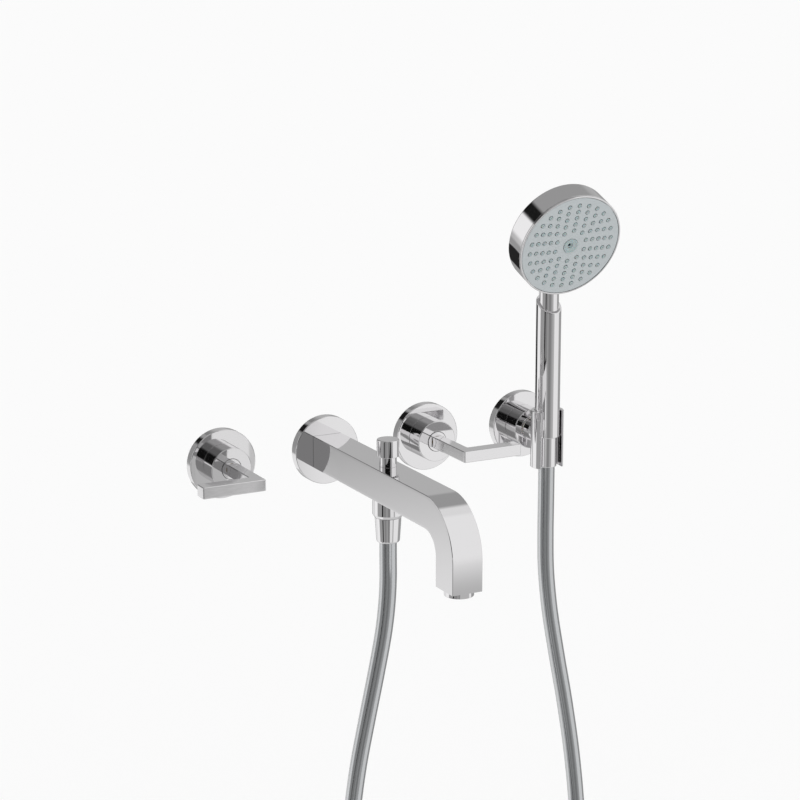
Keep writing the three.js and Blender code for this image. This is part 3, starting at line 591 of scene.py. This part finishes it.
def card_by_the_set(left, right, out, low, top, brightness, fade_across, fade_up):
    """A small flat card that only the metal sees."""
    data = bpy.data.meshes.new("studio_card")
    data.from_pydata([(left, -out, low), (right, -out, low), (right, -out, top), (left, -out, top)], [],
                     [(0, 1, 2, 3)])
    card = put("studio_card", data)
    card.visible_camera = False
    card.visible_diffuse = False
    card.visible_shadow = False
    card.visible_transmission = False
    # Unlit grey paper whose edges fade out, so that no hard line shows in the chrome.
    finish = bpy.data.materials.new("unlit_paper")
    finish.use_nodes = True
    tree = finish.node_tree
    tree.nodes.clear()
    spot = add_node(tree, "SeparateXYZ", {"Vector": add_node(tree, "TexCoord").outputs["Generated"]})
    fade = 1.0
    for side, start in (("X", fade_across), ("Z", fade_up)):
        off = add_node(tree, "Math", {0: spot.outputs[side], 1: 0.5}, operation="SUBTRACT")
        away = add_node(tree, "Math", {0: off}, operation="ABSOLUTE")
        edge = add_node(tree, "MapRange", {
            "Value": away, "From Min": start, "From Max": 0.5, "To Min": 1.0, "To Max": 0.0},
            interpolation_type="SMOOTHSTEP")
        fade = add_node(tree, "Math", {0: fade, 1: edge}, operation="MULTIPLY")
    glow = add_node(tree, "Emission", {"Color": (1, 1, 1, 1), "Strength": brightness})
    clear = add_node(tree, "BsdfTransparent")
    mixed = add_node(tree, "MixShader", {0: fade, 1: clear, 2: glow})
    add_node(tree, "OutputMaterial", {"Surface": mixed})
    data.materials.append(finish)


# ---------- hose ----------
# The route of the hose from its nut under the spout to the foot of the hand shower, in metres.
HOSE_ROUTE = [
    (0, -0.124, -0.041), (0, -0.124, -0.062), (0, -0.124, -0.084), (-0.001, -0.1235, -0.106),
    (-0.0035, -0.1225, -0.130), (-0.009, -0.120, -0.165), (-0.016, -0.117, -0.205), (-0.023, -0.113, -0.250),
    (-0.028, -0.109, -0.300), (-0.031, -0.105, -0.350), (-0.030, -0.101, -0.402), (-0.023, -0.097, -0.452),
    (-0.008, -0.093, -0.497), (0.016, -0.090, -0.535), (0.050, -0.088, -0.561), (0.090, -0.086, -0.572),
    (0.132, -0.083, -0.567), (0.170, -0.079, -0.546), (0.199, -0.075, -0.511), (0.217, -0.071, -0.465),
    (0.225, -0.067, -0.412), (0.226, -0.063, -0.358), (0.222, -0.0595, -0.304), (0.215, -0.0565, -0.252),
    (0.207, -0.054, -0.205), (0.200, -0.0525, -0.162), (0.196, -0.052, -0.124), (0.195, -0.052, -0.092),
    (0.195, -0.052, -0.060), (0.195, -0.052, -0.029), (0.195, -0.052, 0.002),
]
HOSE_DIAMETER = 0.0145


def smooth_route(route, steps):
    """Points of a centripetal curve through the route."""
    points = [Vector(p) for p in route]
    points = [2 * points[0] - points[1]] + points + [2 * points[-1] - points[-2]]
    result = []
    for i in range(1, len(points) - 2):
        p = points[i - 1:i + 3]
        t = [0.0]
        for a, b in zip(p, p[1:]):
            t.append(t[-1] + sqrt((b - a).length))
        for k in range(steps):
            u = t[1] + (t[2] - t[1]) * k / steps
            a = [p[j] * (t[j + 1] - u) / (t[j + 1] - t[j]) + p[j + 1] * (u - t[j]) / (t[j + 1] - t[j])
                 for j in range(3)]
            b = [a[j] * (t[j + 2] - u) / (t[j + 2] - t[j]) + a[j + 1] * (u - t[j]) / (t[j + 2] - t[j])
                 for j in range(2)]
            result.append(b[0] * (t[2] - u) / (t[2] - t[1]) + b[1] * (u - t[1]) / (t[2] - t[1]))
    result.append(points[-2])
    return result


def tube(mesh, path, radius, sides):
    """A round tube along a path, its rings carried along without twist."""
    across = Vector((1, 0, 0))
    rings = []
    for i, point in enumerate(path):
        ahead = (path[min(i + 1, len(path) - 1)] - path[max(i - 1, 0)]).normalized()
        across = (across - ahead * across.dot(ahead)).normalized()
        other = ahead.cross(across)
        rings.append([point + across * spot.x + other * spot.y for spot in circle(radius, sides)])
    capped(mesh, rings)


class FAUCET_OT_hose(Operator):
    """Hang the silver hose from the spout's outlet to the foot of the hand shower"""
    bl_idname = "bath_faucet.hose"
    bl_label = "Hose"

    def execute(self, context):
        path = smooth_route(HOSE_ROUTE, 14)
        mesh = bmesh.new()
        tube(mesh, [p / MM for p in path], HOSE_DIAMETER / MM / 2, 40)
        hose = finished(mesh, "hose_tube", "hose", None, name="fine_hose")
        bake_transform(hose)
        return {"FINISHED"}


# ---------- wall stations ----------
GRUB_HOLE = 2.3  # radius of the hole that a grub screw stands in


class FAUCET_OT_rosettes(Operator):
    """Turn the four round rosettes and lay a gasket behind each"""
    bl_idname = "bath_faucet.rosettes"
    bl_label = "Rosettes"

    def execute(self, context):
        edge = context.scene.faucet_sizes.plate_edge
        hole, skin = 13.0, 2.5
        for station, x in STATIONS.items():
            back, face, radius = out_of(station + "_rosette")
            turned_piece(station + "_rosette", [
                (hole, face - skin, 0), (radius - skin, face - skin, 1.2), (radius - skin, back, 0.2),
                (radius, back, 0.3), (radius, face, edge), (hole, face, 0),
            ], from_wall(x), "chrome", "fixed", 160)
            node = station + "_gasket"
            inner = radius_of(node) - 9
            ring_piece(node, inner, from_wall(x), "rubber", "fixed", 128, [0.2] * 4, span=out_of)
        return {"FINISHED"}


class FAUCET_OT_hubs(Operator):
    """Turn the three round hubs that stand on the rosettes"""
    bl_idname = "bath_faucet.hubs"
    bl_label = "Hubs"

    def execute(self, context):
        edge = context.scene.faucet_sizes.hub_edge
        skin = 3
        for station, hole in (("left", 9.0), ("right", 9.0), ("holder", 5.8)):
            back, face, radius = out_of(station + "_hub")
            x = STATIONS[station]
            holes = []
            if station == "holder":
                screw = axis_of("holder_hub_screw")
                holes = [(GRUB_HOLE, -radius - 1, -12.7, screw, 40)]
            turned_piece(station + "_hub", [
                (radius - skin, back, 0), (radius, back, 0.2), (radius, face, edge),
                (hole, face, 0.25), (hole, face - skin, 0), (radius - skin, face - skin, 0),
            ], from_wall(x), "chrome", "fixed", 128, holes)
        return {"FINISHED"}


class FAUCET_OT_valves(Operator):
    """Turn what each valve holds: bonnet, cartridge, spindle and collar"""
    bl_idname = "bath_faucet.valves"
    bl_label = "Valves"

    def execute(self, context):
        for side in VALVES:
            place = from_wall(STATIONS[side])
            back, end, outer = out_of(side + "_bonnet")
            inner, step = outer - 3, end - 6
            turned_piece(side + "_bonnet", [
                (inner, back, 0.3), (outer, back, 0.5), (outer, step, 0.3),
                (8.7, end, 0.3), (5, end, 0), (5, step, 0), (inner, step, 0),
            ], place, "brass", "fixed")
            back, end, outer = out_of(side + "_cartridge")
            floor = back + 3.7
            turned_piece(side + "_cartridge", [
                (0, back, 0), (outer, back, 0.4), (outer, end, 0.2),
                (5, end, 0), (5, floor, 0), (0, floor, 0),
            ], place, "acetal", "fixed")
            back, end, outer = out_of(side + "_spindle")
            face = out_of(side + "_hub")[1]
            turned_piece(side + "_spindle", [
                (0, back, 0), (4.7, back, 0.2), (4.7, face, 0.2),
                (2.7, face, 0), (2.7, end, 0.3), (0, end, 0),
            ], place, "brass", side + "_handle", 64)
            ring_piece(side + "_collar", 5, place, "chrome", "fixed", edges=(0, 0, 0.3, 0.15), span=out_of)
        return {"FINISHED"}


class FAUCET_OT_levers(Operator):
    """Form the two square bar levers, each bored for its grub screw"""
    bl_idname = "bath_faucet.levers"
    bl_label = "Levers"

    def execute(self, context):
        edge = context.scene.faucet_sizes.lever_edge
        half_stem, depth = 5.0, 13.0
        for side, way in VALVES.items():
            node = side + "_lever"
            back, front, half_long = out_of(node)
            low, high, _ = up_of(node)
            half_high = (high - low) / 2
            inner = -way * half_stem
            tip = inner + way * half_long * 2
            turn = edge + 0.3
            corners = [
                (inner, back, turn), (inner, front, turn), (tip, front, turn), (tip, front - depth, turn),
                (-inner, front - depth, 0.3), (-inner, back, turn),
            ]
            mesh = bmesh.new()
            flat = Matrix.Translation((STATIONS[side], 0, 0)) @ Matrix.Scale(-1, 4, (0, 1, 0))
            slab(mesh, divided(rounded(corners), 6), -half_high, half_high, edge, edge, flat)
            screw = axis_of(node + "_screw")
            holes = [(GRUB_HOLE, -half_high - 1, 0, screw, 40)]
            finished(mesh, node, "drawn_chrome", side + "_handle", holes)
        return {"FINISHED"}


class FAUCET_OT_screws(Operator):
    """Cut the grub screws with their hexagon sockets, and turn the holder's screws"""
    bl_idname = "bath_faucet.screws"
    bl_label = "Screws"

    def execute(self, context):
        grub_screws = {
            "left_lever_screw": "left_handle", "right_lever_screw": "right_handle",
            "spout_screw": "fixed", "holder_hub_screw": "fixed",
        }
        for node, body in grub_screws.items():
            low, high, radius = up_of(node)
            place = axis_of(node)
            turned_piece(node, [
                (0, low + 0.4, 0), (radius - 0.35, low + 0.4, 0), (radius, low + 0.75, 0),
                (radius, high, 0.2), (0, high, 0),
            ], place, "steel", body, 48, [(1.05, low - 0.5, low + 2.2, place, 6)])
        for node in ("holder_screw_upper", "holder_screw_lower"):
            centre = middle(node) / MM
            back, front, head = out_of(node)
            under = front - 1.5
            turned_piece(node, [
                (0, back, 0), (2.1, back, 0.4), (2.1, under, 0),
                (4, under, 0.2), (4, front, 0.7), (0, front, 0),
            ], from_wall(centre.x, 0, centre.z), "steel", "fixed", 48)
        node = "holder_retaining_screw"
        back, end, head = out_of(node)
        under = back + 1.7
        turned_piece(node, [
            (0, back, 0), (head, back, 0.5), (head, under, 0.2),
            (2.1, under, 0), (2.1, end, 0.3), (0, end, 0),
        ], from_wall(STATIONS["holder"]), "steel", "holder", 48)
        return {"FINISHED"}


# ---------- spout ----------
BEND = 47.0  # outer radius of the bend


class FAUCET_OT_spout(Operator):
    """Bend the square bar of the spout and bore its end for the aerator"""
    bl_idname = "bath_faucet.spout"
    bl_label = "Spout"

    def execute(self, context):
        edge = context.scene.faucet_sizes.spout_edge
        root, front, half_wide = out_of("spout_body")
        drop, top, _ = up_of("spout_body")
        line = BEND - top
        centre_out = front - BEND
        stations = [(root + (centre_out - root) * k / 12, 0.0, 0.0) for k in range(12)]
        for turn in [pi / 2 * k / 32 for k in range(33)]:
            stations.append((centre_out + line * sin(turn), line * (cos(turn) - 1), turn))
        stations.append((centre_out + line, drop + edge, pi / 2))
        corners = [(half_wide * x, top * y, edge) for x, y in ((-1, -1), (1, -1), (1, 1), (-1, 1))]
        section = divided(rounded(corners), 2.5)

        def ring(out, up, turn, points):
            across = Vector((sin(turn), cos(turn)))
            return [Vector((x, -(out + across.x * y), up + across.y * y)) for x, y in points]

        rings = [ring(*station, section) for station in stations]
        for rise, side in quarter(5)[1:]:
            rim = inset(section, edge / 2 * side)
            rings.append(ring(centre_out + line, drop + edge / 2 * rise, pi / 2, rim))
        bore = radius_of("aerator_housing") + 0.3
        round_end = [tuple(Vector(p).normalized() * bore) for p in section]
        rings.append(ring(centre_out + line, drop, pi / 2, round_end))
        rings.append(ring(centre_out + line, up_of("aerator_seal")[1] + 0.3, pi / 2, round_end))
        mesh = bmesh.new()
        capped(mesh, rings)
        screw = axis_of("spout_screw")
        finished(mesh, "spout_body", "chrome", "fixed", [(GRUB_HOLE, -top - 1, -8, screw, 40)])
        return {"FINISHED"}


class FAUCET_OT_spout_fittings(Operator):
    """Turn the nipple, its washer, the aerator and its mesh"""
    bl_idname = "bath_faucet.spout_fittings"
    bl_label = "Spout fittings"

    def execute(self, context):
        back, end, outer = out_of("spout_nipple")
        bore = outer - 2.9
        pitch, thread_length = 1.8, 9
        turns = range(int(thread_length / pitch) * 2)
        threads = [(outer - 0.8 * (k % 2), back + 0.6 + k * pitch / 2, 0.12) for k in turns]
        turned_piece("spout_nipple", [(bore, back, 0.3)] + threads + [(outer, end, 0.4), (bore, end, 0.2)],
                     from_wall(0), "brass", "fixed")
        ring_piece("spout_washer", bore, from_wall(0), "rubber", "fixed", 64, outer=outer, span=out_of)
        place = axis_of("aerator_housing")
        outer = radius_of("aerator_housing")
        inner = outer - 1.7
        ring_piece("aerator_housing", inner, place, "chrome", "fixed", edges=(0.35, 0.5, 0.2, 0.2))
        ring_piece("aerator_seal", inner, place, "rubber", "fixed", 64, outer=outer)
        self.insert(place)
        return {"FINISHED"}

    def insert(self, place):
        """The aerator's insert is a cup whose lower face is a square grid of ribs."""
        low, high, outer = up_of("aerator_insert")
        mesh = bmesh.new()
        lathe(mesh, ring_section(outer - 0.9, outer, low, high, 0.2, 0.3, 0.2, 0), place, 80)
        lathe(mesh, ring_section(0, outer - 0.5, low + 2.2, high - 1, 0, 0, 0, 0), place, 80)
        pitch, half = 1.6, 0.18
        for k in range(-5, 6):
            side = k * pitch
            reach = sqrt(max(0.0, (outer - 0.6) ** 2 - side ** 2))
            if reach < 1:
                continue
            rib = [(-reach, side - half), (reach, side - half), (reach, side + half), (-reach, side + half)]
            for turn in (0, pi / 2):
                slab(mesh, rib, low + 0.5, low + 2.4, 0, 0, place @ Matrix.Rotation(turn, 4, "Z"), 1)
        finished(mesh, "aerator_insert", "acetal", "fixed")


# ---------- diverter and hose outlet ----------
class FAUCET_OT_diverter(Operator):
    """Turn the pull-up knob, its bush and the parts that it lifts"""
    bl_idname = "bath_faucet.diverter"
    bl_label = "Diverter"

    def execute(self, context):
        place = axis_of("diverter_knob")
        low, high, outer = up_of("diverter_knob")
        roof = low + 7.5
        turned_piece("diverter_knob", [
            (2.8, low, 0), (outer, low, 0.5), (outer, high, 0.9), (0, high, 0), (0, roof, 0), (2.8, roof, 0),
        ], place, "chrome", "diverter", 112)
        low, high, outer = up_of("diverter_bush")
        seat = up_of("spout_body")[1] + 0.05
        turned_piece("diverter_bush", [
            (2.8, low, 0), (5.7, low, 0.3), (5.7, seat, 0),
            (outer, seat, 0.1), (outer, high, 0.4), (2.8, high, 0),
        ], place, "chrome", "fixed")
        ring_piece("diverter_rod", 0, place, "steel", "diverter", 48, (0, 0.3, 0.3, 0), 2.5)
        for node, finish in (("diverter_disc", "brass"), ("diverter_seal", "rubber")):
            ring_piece(node, 2.8, place, finish, "diverter", 64, (0, 0.4, 0.4, 0))
        self.spring()
        return {"FINISHED"}

    def spring(self):
        centre = middle("diverter_spring") / MM
        low, high, _ = up_of("diverter_spring")
        wire, radius, turns, steps = 0.5, 4.4, 3, 48
        path = []
        for k in range(turns * steps + 1):
            angle = 2 * pi * k / steps
            rise = low + wire + (high - low - 2 * wire) * k / (turns * steps)
            path.append(Vector((centre.x + radius * cos(angle), centre.y + radius * sin(angle), rise)))
        mesh = bmesh.new()
        tube(mesh, path, wire, 12)
        finished(mesh, "diverter_spring", "steel", "diverter")


class FAUCET_OT_outlet(Operator):
    """Turn the hose outlet under the spout with its check valve, washer and conical nut"""
    bl_idname = "bath_faucet.outlet"
    bl_label = "Hose outlet"

    def execute(self, context):
        place = axis_of("outlet_collar")
        low, high, outer = up_of("outlet_collar")
        seat = -14.05
        shoulder = -29.0
        turned_piece("outlet_collar", [
            (5.9, low, 0.2), (8.4, low, 0.3), (8.4, shoulder, 0), (outer - 1.6, shoulder, 0.2),
            (outer, shoulder + 2.4, 0.5), (outer, seat, 0.1), (9.2, seat, 0), (9.2, high, 0), (5.9, high, 0),
        ], place, "chrome", "fixed", 112)
        low, high, _ = up_of("outlet_hose_nut")
        turned_piece("outlet_hose_nut", [
            (7.45, low, 0.5), (9.7, low, 2.2), (11.1, high, 0.5), (8.7, high, 0),
            (8.7, high - 9.8, 0), (7.45, high - 9.8, 0),
        ], place, "chrome", "fixed", 112)
        ring_piece("check_valve", 2.5, place, "acetal", "fixed", 64, outer=5.6)
        ring_piece("outlet_washer", 5.9, place, "rubber", "fixed", 64, outer=8.4)
        return {"FINISHED"}


# ---------- shower holder ----------
CLIP_BORE = 11.3
CLIP_LOW_BORE = 9.3
CLIP_SLOT = 20.8
TIP_EDGE = 0.7


def clip_outline(outer, bore, deep, steps=56):
    """The clip seen from above: a ring with a parallel slot towards the room (-Y)."""
    half = CLIP_SLOT / 2
    wide = pi - asin(half / outer)
    turn = pi / 2 if deep else pi - asin(half / bore)

    def arc(radius, start):
        """Points from one side of the slot round to the other."""
        turns = [start - 2 * start * k / steps for k in range(steps + 1)]
        return [(radius * sin(a), radius * cos(a), 0) for a in turns]

    # Each tip is rounded, so the points of the arc next to it give way to one corner.
    tip = outer * cos(wide)
    outside = [(half, tip, TIP_EDGE), *arc(outer, wide)[3:-3], (-half, tip, TIP_EDGE)]
    inside = arc(bore, -turn)
    if deep:
        inside = [(-half, 0, 0), *inside, (half, 0, 0)]
    return rounded(outside + inside, 5)


class FAUCET_OT_holder(Operator):
    """Form the slotted clip on its neck, and the wall plate behind it"""
    bl_idname = "bath_faucet.holder"
    bl_label = "Shower holder"

    def execute(self, context):
        edge = context.scene.faucet_sizes.clip_edge
        x = STATIONS["holder"]
        low, high, outer = up_of("handset_clip")
        axis_out = 52.0
        ledge = -1.3
        mesh = bmesh.new()
        place = standing(x, axis_out)
        slab(mesh, clip_outline(outer, CLIP_BORE, False), ledge, high, 0, edge, place)
        slab(mesh, clip_outline(outer, CLIP_LOW_BORE, True), low, ledge, edge, 0, place)
        neck = out_of("holder_friction_ring")[1] + 0.3
        place = from_wall(x)
        lathe(mesh, ring_section(0, 11, neck, axis_out - 7.25, 0, 0.6, 0, 0), place, 112)
        lathe(mesh, ring_section(0, 5.5, 9.5, neck + 1, 0, 0.3, 0, 0), place, 64)
        finished(mesh, "handset_clip", "chrome", "holder")
        ring_piece("holder_friction_ring", 5.8, place, "acetal", "fixed", edges=(0, 0.2, 0.2, 0), span=out_of)
        back, end, outer = out_of("holder_wall_plate")
        front = back + 2.7
        screw_up = middle("holder_screw_upper").z / MM
        holes = [(2.4, back - 1, front + 1, from_wall(x, 0, up), 40) for up in (screw_up, -screw_up)]
        turned_piece("holder_wall_plate", [
            (6.8, back, 0.2), (outer, back, 0.3), (outer, front, 0.3), (12.7, front, 0.4),
            (12.7, end, 0.6), (5.8, end, 0.3), (5.8, 9.2, 0), (6.8, 9.2, 0),
        ], place, "brass", "fixed", 96, holes)
        return {"FINISHED"}


# ---------- hand shower ----------
HEAD_BACK = 23.0  # of the drum, behind the spray face
HEAD_FRONT = 1.9  # front edge of the drum
HEAD_SKIN = 2.4
NECK_RIDGE = 9.0  # how far the neck stands proud of the drum's back
TRIM_WIDTH = 1.4
PLATE_FRONT, PLATE_BACK = -0.3, -1.6
MAT_FRONT, MAT_BACK = -1.9, -3.4
DISTRIBUTOR_FRONT, DISTRIBUTOR_BACK = -3.7, -5.9
CENTRE_NOZZLE = 6.7
CENTRE_HOLE = 7.0
FIRST_RING, RING_STEP = 15.0, 6.1  # radius of the innermost ring of nozzles, and the step to the next


def head_place():
    """The head's frame: the origin in the middle of the spray face, height running out of it."""
    trim = middle("head_trim_ring") / MM
    facing = Vector((0, -cos(TILT), -sin(TILT)))
    face = trim + facing * 0.8
    return Matrix.Translation(face) @ Matrix.Rotation(TILT + pi / 2, 4, "X")


def nozzle_places(rings):
    """Middles of the spray nozzles: rings of 10, 14, 18 and so on, equal steps apart."""
    places = []
    for ring in range(rings):
        count = 10 + 4 * ring
        radius = FIRST_RING + RING_STEP * ring
        for k in range(count):
            angle = 2 * pi * (k + 0.5) / count
            places.append((radius * cos(angle), radius * sin(angle)))
    return places


class FAUCET_OT_handle(Operator):
    """Draw the shower's handle with its slanted end, and the fittings inside it"""
    bl_idname = "bath_faucet.handle"
    bl_label = "Handle"

    def execute(self, context):
        place = axis_of("handle_tube")
        low, high, radius = up_of("handle_tube")
        slope = tan(SLANT)
        mesh = bmesh.new()
        post(mesh, radius, low, high - slope * radius, slope, 0.7, place)
        finished(mesh, "handle_tube", "chrome", "handset")
        low, high, outer = up_of("handset_hose_nut")
        turned_piece("handset_hose_nut", [
            (7.5, low, 0.4), (outer, low, 0.8), (outer, high, 0.3), (7, high, 0), (7, 2.3, 0), (7.5, 2.3, 0),
        ], place, "chrome", "handset")
        low, high, outer = up_of("handle_inlet")
        step = low + 8
        turned_piece("handle_inlet", [
            (4.2, low, 0.3), (6.7, low, 0.3), (6.7, step, 0),
            (outer, step, 0.3), (outer, high, 0.3), (4.2, high, 0),
        ], place, "brass", "handset", 64)
        ring_piece("handle_waterway", 4.2, place, "acetal", "handset", 64, [0.2] * 4, 5.8)
        ring_piece("handset_washer", 4.2, place, "rubber", "handset", 64)
        return {"FINISHED"}


class FAUCET_OT_head(Operator):
    """Turn the round shower head with its trim ring, neck and drum"""
    bl_idname = "bath_faucet.head"
    bl_label = "Shower head"

    def execute(self, context):
        edge = context.scene.faucet_sizes.head_edge
        place = head_place()
        radius = radius_of("head_trim_ring")
        inner = radius - HEAD_SKIN
        mesh = bmesh.new()
        lathe(mesh, [
            (0, -HEAD_BACK, 0), (radius, -HEAD_BACK, edge),
            (radius, -HEAD_FRONT, 0.25), (inner, -HEAD_FRONT, 0),
            (inner, HEAD_SKIN - HEAD_BACK, 0), (0, HEAD_SKIN - HEAD_BACK, 0),
        ], place, 192)
        handle = axis_of("handle_tube")
        ahead = handle.translation.y - place.translation.y
        slope = -1 / tan(TILT)
        top = place.translation.z + (HEAD_BACK + NECK_RIDGE) / sin(TILT) + slope * ahead
        neck = radius_of("handle_tube") - 2.3
        post(mesh, neck, up_of("head_shell")[0], top, slope, 0.6, handle)
        finished(mesh, "head_shell", "chrome", "handset")
        section = ring_section(radius - TRIM_WIDTH, radius, PLATE_BACK, 0, 0, 0.25, 0.55, 0.4)
        turned_piece("head_trim_ring", section, place, "chrome", "handset", 192)
        return {"FINISHED"}


class FAUCET_OT_spray_face(Operator):
    """Mould the grey spray plate, its silicone nozzles and the centre nozzle"""
    bl_idname = "bath_faucet.spray_face"
    bl_label = "Spray face"

    def execute(self, context):
        place = head_place()
        places = nozzle_places(context.scene.faucet_sizes.nozzle_rings)
        radius = radius_of("head_trim_ring")
        self.plate(place, places, radius - TRIM_WIDTH - 0.3)
        inner = radius - HEAD_SKIN - 0.3
        self.mat(place, places, inner)
        section = ring_section(4.2, inner, DISTRIBUTOR_BACK, DISTRIBUTOR_FRONT, 0.2, 0.2, 0.2, 0.2)
        turned_piece("water_distributor", section, place, "acetal", "handset")
        low = DISTRIBUTOR_FRONT + 0.3
        turned_piece("centre_nozzle", [
            (1.4, low, 0), (CENTRE_NOZZLE, low, 0), (CENTRE_NOZZLE, 0.5, 0.3), (5.8, 0.6, 0.3),
            (5.3, -0.1, 0.2), (2.6, -0.7, 0.3), (2.2, -2.0, 0.2), (1.4, -2.2, 0),
        ], place, "silicone", "handset", 80)
        return {"FINISHED"}

    def plate(self, place, places, radius):
        """A flat plate with a countersunk hole for every nozzle."""
        front, back, mouth, throat, sink, rim = PLATE_FRONT, PLATE_BACK, 2.15, 1.9, 0.5, 0.35
        mesh = bmesh.new()
        self.pierced(mesh, places, radius - rim, mouth, front)
        self.pierced(mesh, places, radius, throat, back)
        for x, y in places:
            rings = [circle(mouth, 24, front), circle(throat, 24, front - sink), circle(throat, 24, back)]
            move(mesh, stitch(mesh, rings), Matrix.Translation((x, y, 0)))
        rims = [circle(radius - rim * side, 160, front - rim * drop) for side, drop in quarter(4)]
        stitch(mesh, rims + [circle(radius, 160, back)])
        stitch(mesh, [circle(CENTRE_HOLE, 80, front), circle(CENTRE_HOLE, 80, back)])
        bmesh.ops.remove_doubles(mesh, verts=mesh.verts, dist=0.003)
        move(mesh, [mesh.verts], place)
        facing = place.to_3x3() @ Vector((0, 0, 1))
        finished(mesh, "spray_plate", "spray_face", "handset", facing=facing)

    def pierced(self, mesh, places, radius, hole, height):
        """A flat round face with a hole at every place and one in the middle."""
        loops = [circle(radius, 160), circle(CENTRE_HOLE, 80)]
        loops += [[p + Vector((x, y, 0)) for p in circle(hole, 24)] for x, y in places]
        points = []
        edges = []
        for loop in loops:
            start = len(points)
            points += [p.to_2d() for p in loop]
            edges += [(start + i, start + (i + 1) % len(loop)) for i in range(len(loop))]
        corners, _, faces, *_ = delaunay_2d_cdt(points, edges, [], 1, 1e-5)
        verts = [mesh.verts.new((p.x, p.y, height)) for p in corners]
        for face in faces:
            centre = sum((corners[i] for i in face), Vector((0, 0))) / len(face)
            within = [hypot(centre.x - x, centre.y - y) < hole - 0.02 for x, y in places]
            if centre.length > CENTRE_HOLE and not any(within):
                mesh.faces.new([verts[i] for i in face])

    def mat(self, place, places, radius):
        """The silicone mat stands a soft cone with a fine bore in every hole."""
        mesh = bmesh.new()
        lathe(mesh, ring_section(CENTRE_HOLE, radius, MAT_BACK, MAT_FRONT, 0, 0.1, 0.1, 0), place)
        sunk = MAT_FRONT - 0.2
        bore = 0.4
        for x, y in places:
            spot = place @ Matrix.Translation((x, y, 0))
            lathe(mesh, [
                (bore, MAT_FRONT + 0.2, 0), (0, MAT_FRONT + 0.2, 0), (0, sunk, 0), (1.6, sunk, 0),
                (1.5, 0.1, 0.15), (1.2, 0.3, 0.2), (bore, 0.3, 0.12),
            ], spot, 20, 3)
        finished(mesh, "nozzle_mat", "silicone", "handset")


# ---------- panel ----------
OPERATORS = [
    FAUCET_OT_camera, FAUCET_OT_finishes, FAUCET_OT_hose, FAUCET_OT_stage, FAUCET_OT_rosettes, FAUCET_OT_hubs,
    FAUCET_OT_valves, FAUCET_OT_levers, FAUCET_OT_screws, FAUCET_OT_spout, FAUCET_OT_spout_fittings,
    FAUCET_OT_diverter, FAUCET_OT_outlet, FAUCET_OT_holder, FAUCET_OT_handle, FAUCET_OT_head,
    FAUCET_OT_spray_face,
]


class FAUCET_PT_panel(Panel):
    """The faucet's sizes, finishes and pieces"""
    bl_label = "Bath Faucet"
    bl_idname = "FAUCET_PT_panel"
    bl_space_type = "VIEW_3D"
    bl_region_type = "UI"
    bl_category = "Faucet"

    def draw(self, context):
        layout = self.layout
        for group in (context.scene.faucet_sizes, context.scene.faucet_finishes, context.scene.faucet_studio):
            box = layout.box()
            for key in group.__annotations__:
                box.prop(group, key)
        for operator in OPERATORS:
            layout.operator(operator.bl_idname)


CLASSES = [FaucetSizes, FaucetFinishes, StudioSettings, *OPERATORS, FAUCET_PT_panel]


def register():
    for item in CLASSES:
        bpy.utils.register_class(item)
    bpy.types.Scene.faucet_sizes = PointerProperty(type=FaucetSizes)
    bpy.types.Scene.faucet_finishes = PointerProperty(type=FaucetFinishes)
    bpy.types.Scene.faucet_studio = PointerProperty(type=StudioSettings)


def unregister():
    del bpy.types.Scene.faucet_studio
    del bpy.types.Scene.faucet_finishes
    del bpy.types.Scene.faucet_sizes
    for item in reversed(CLASSES):
        bpy.utils.unregister_class(item)


def main():
    register()
    for operator in OPERATORS:
        group, name = operator.bl_idname.split(".")
        getattr(getattr(bpy.ops, group), name)()


if __name__ == "__main__":
    main()
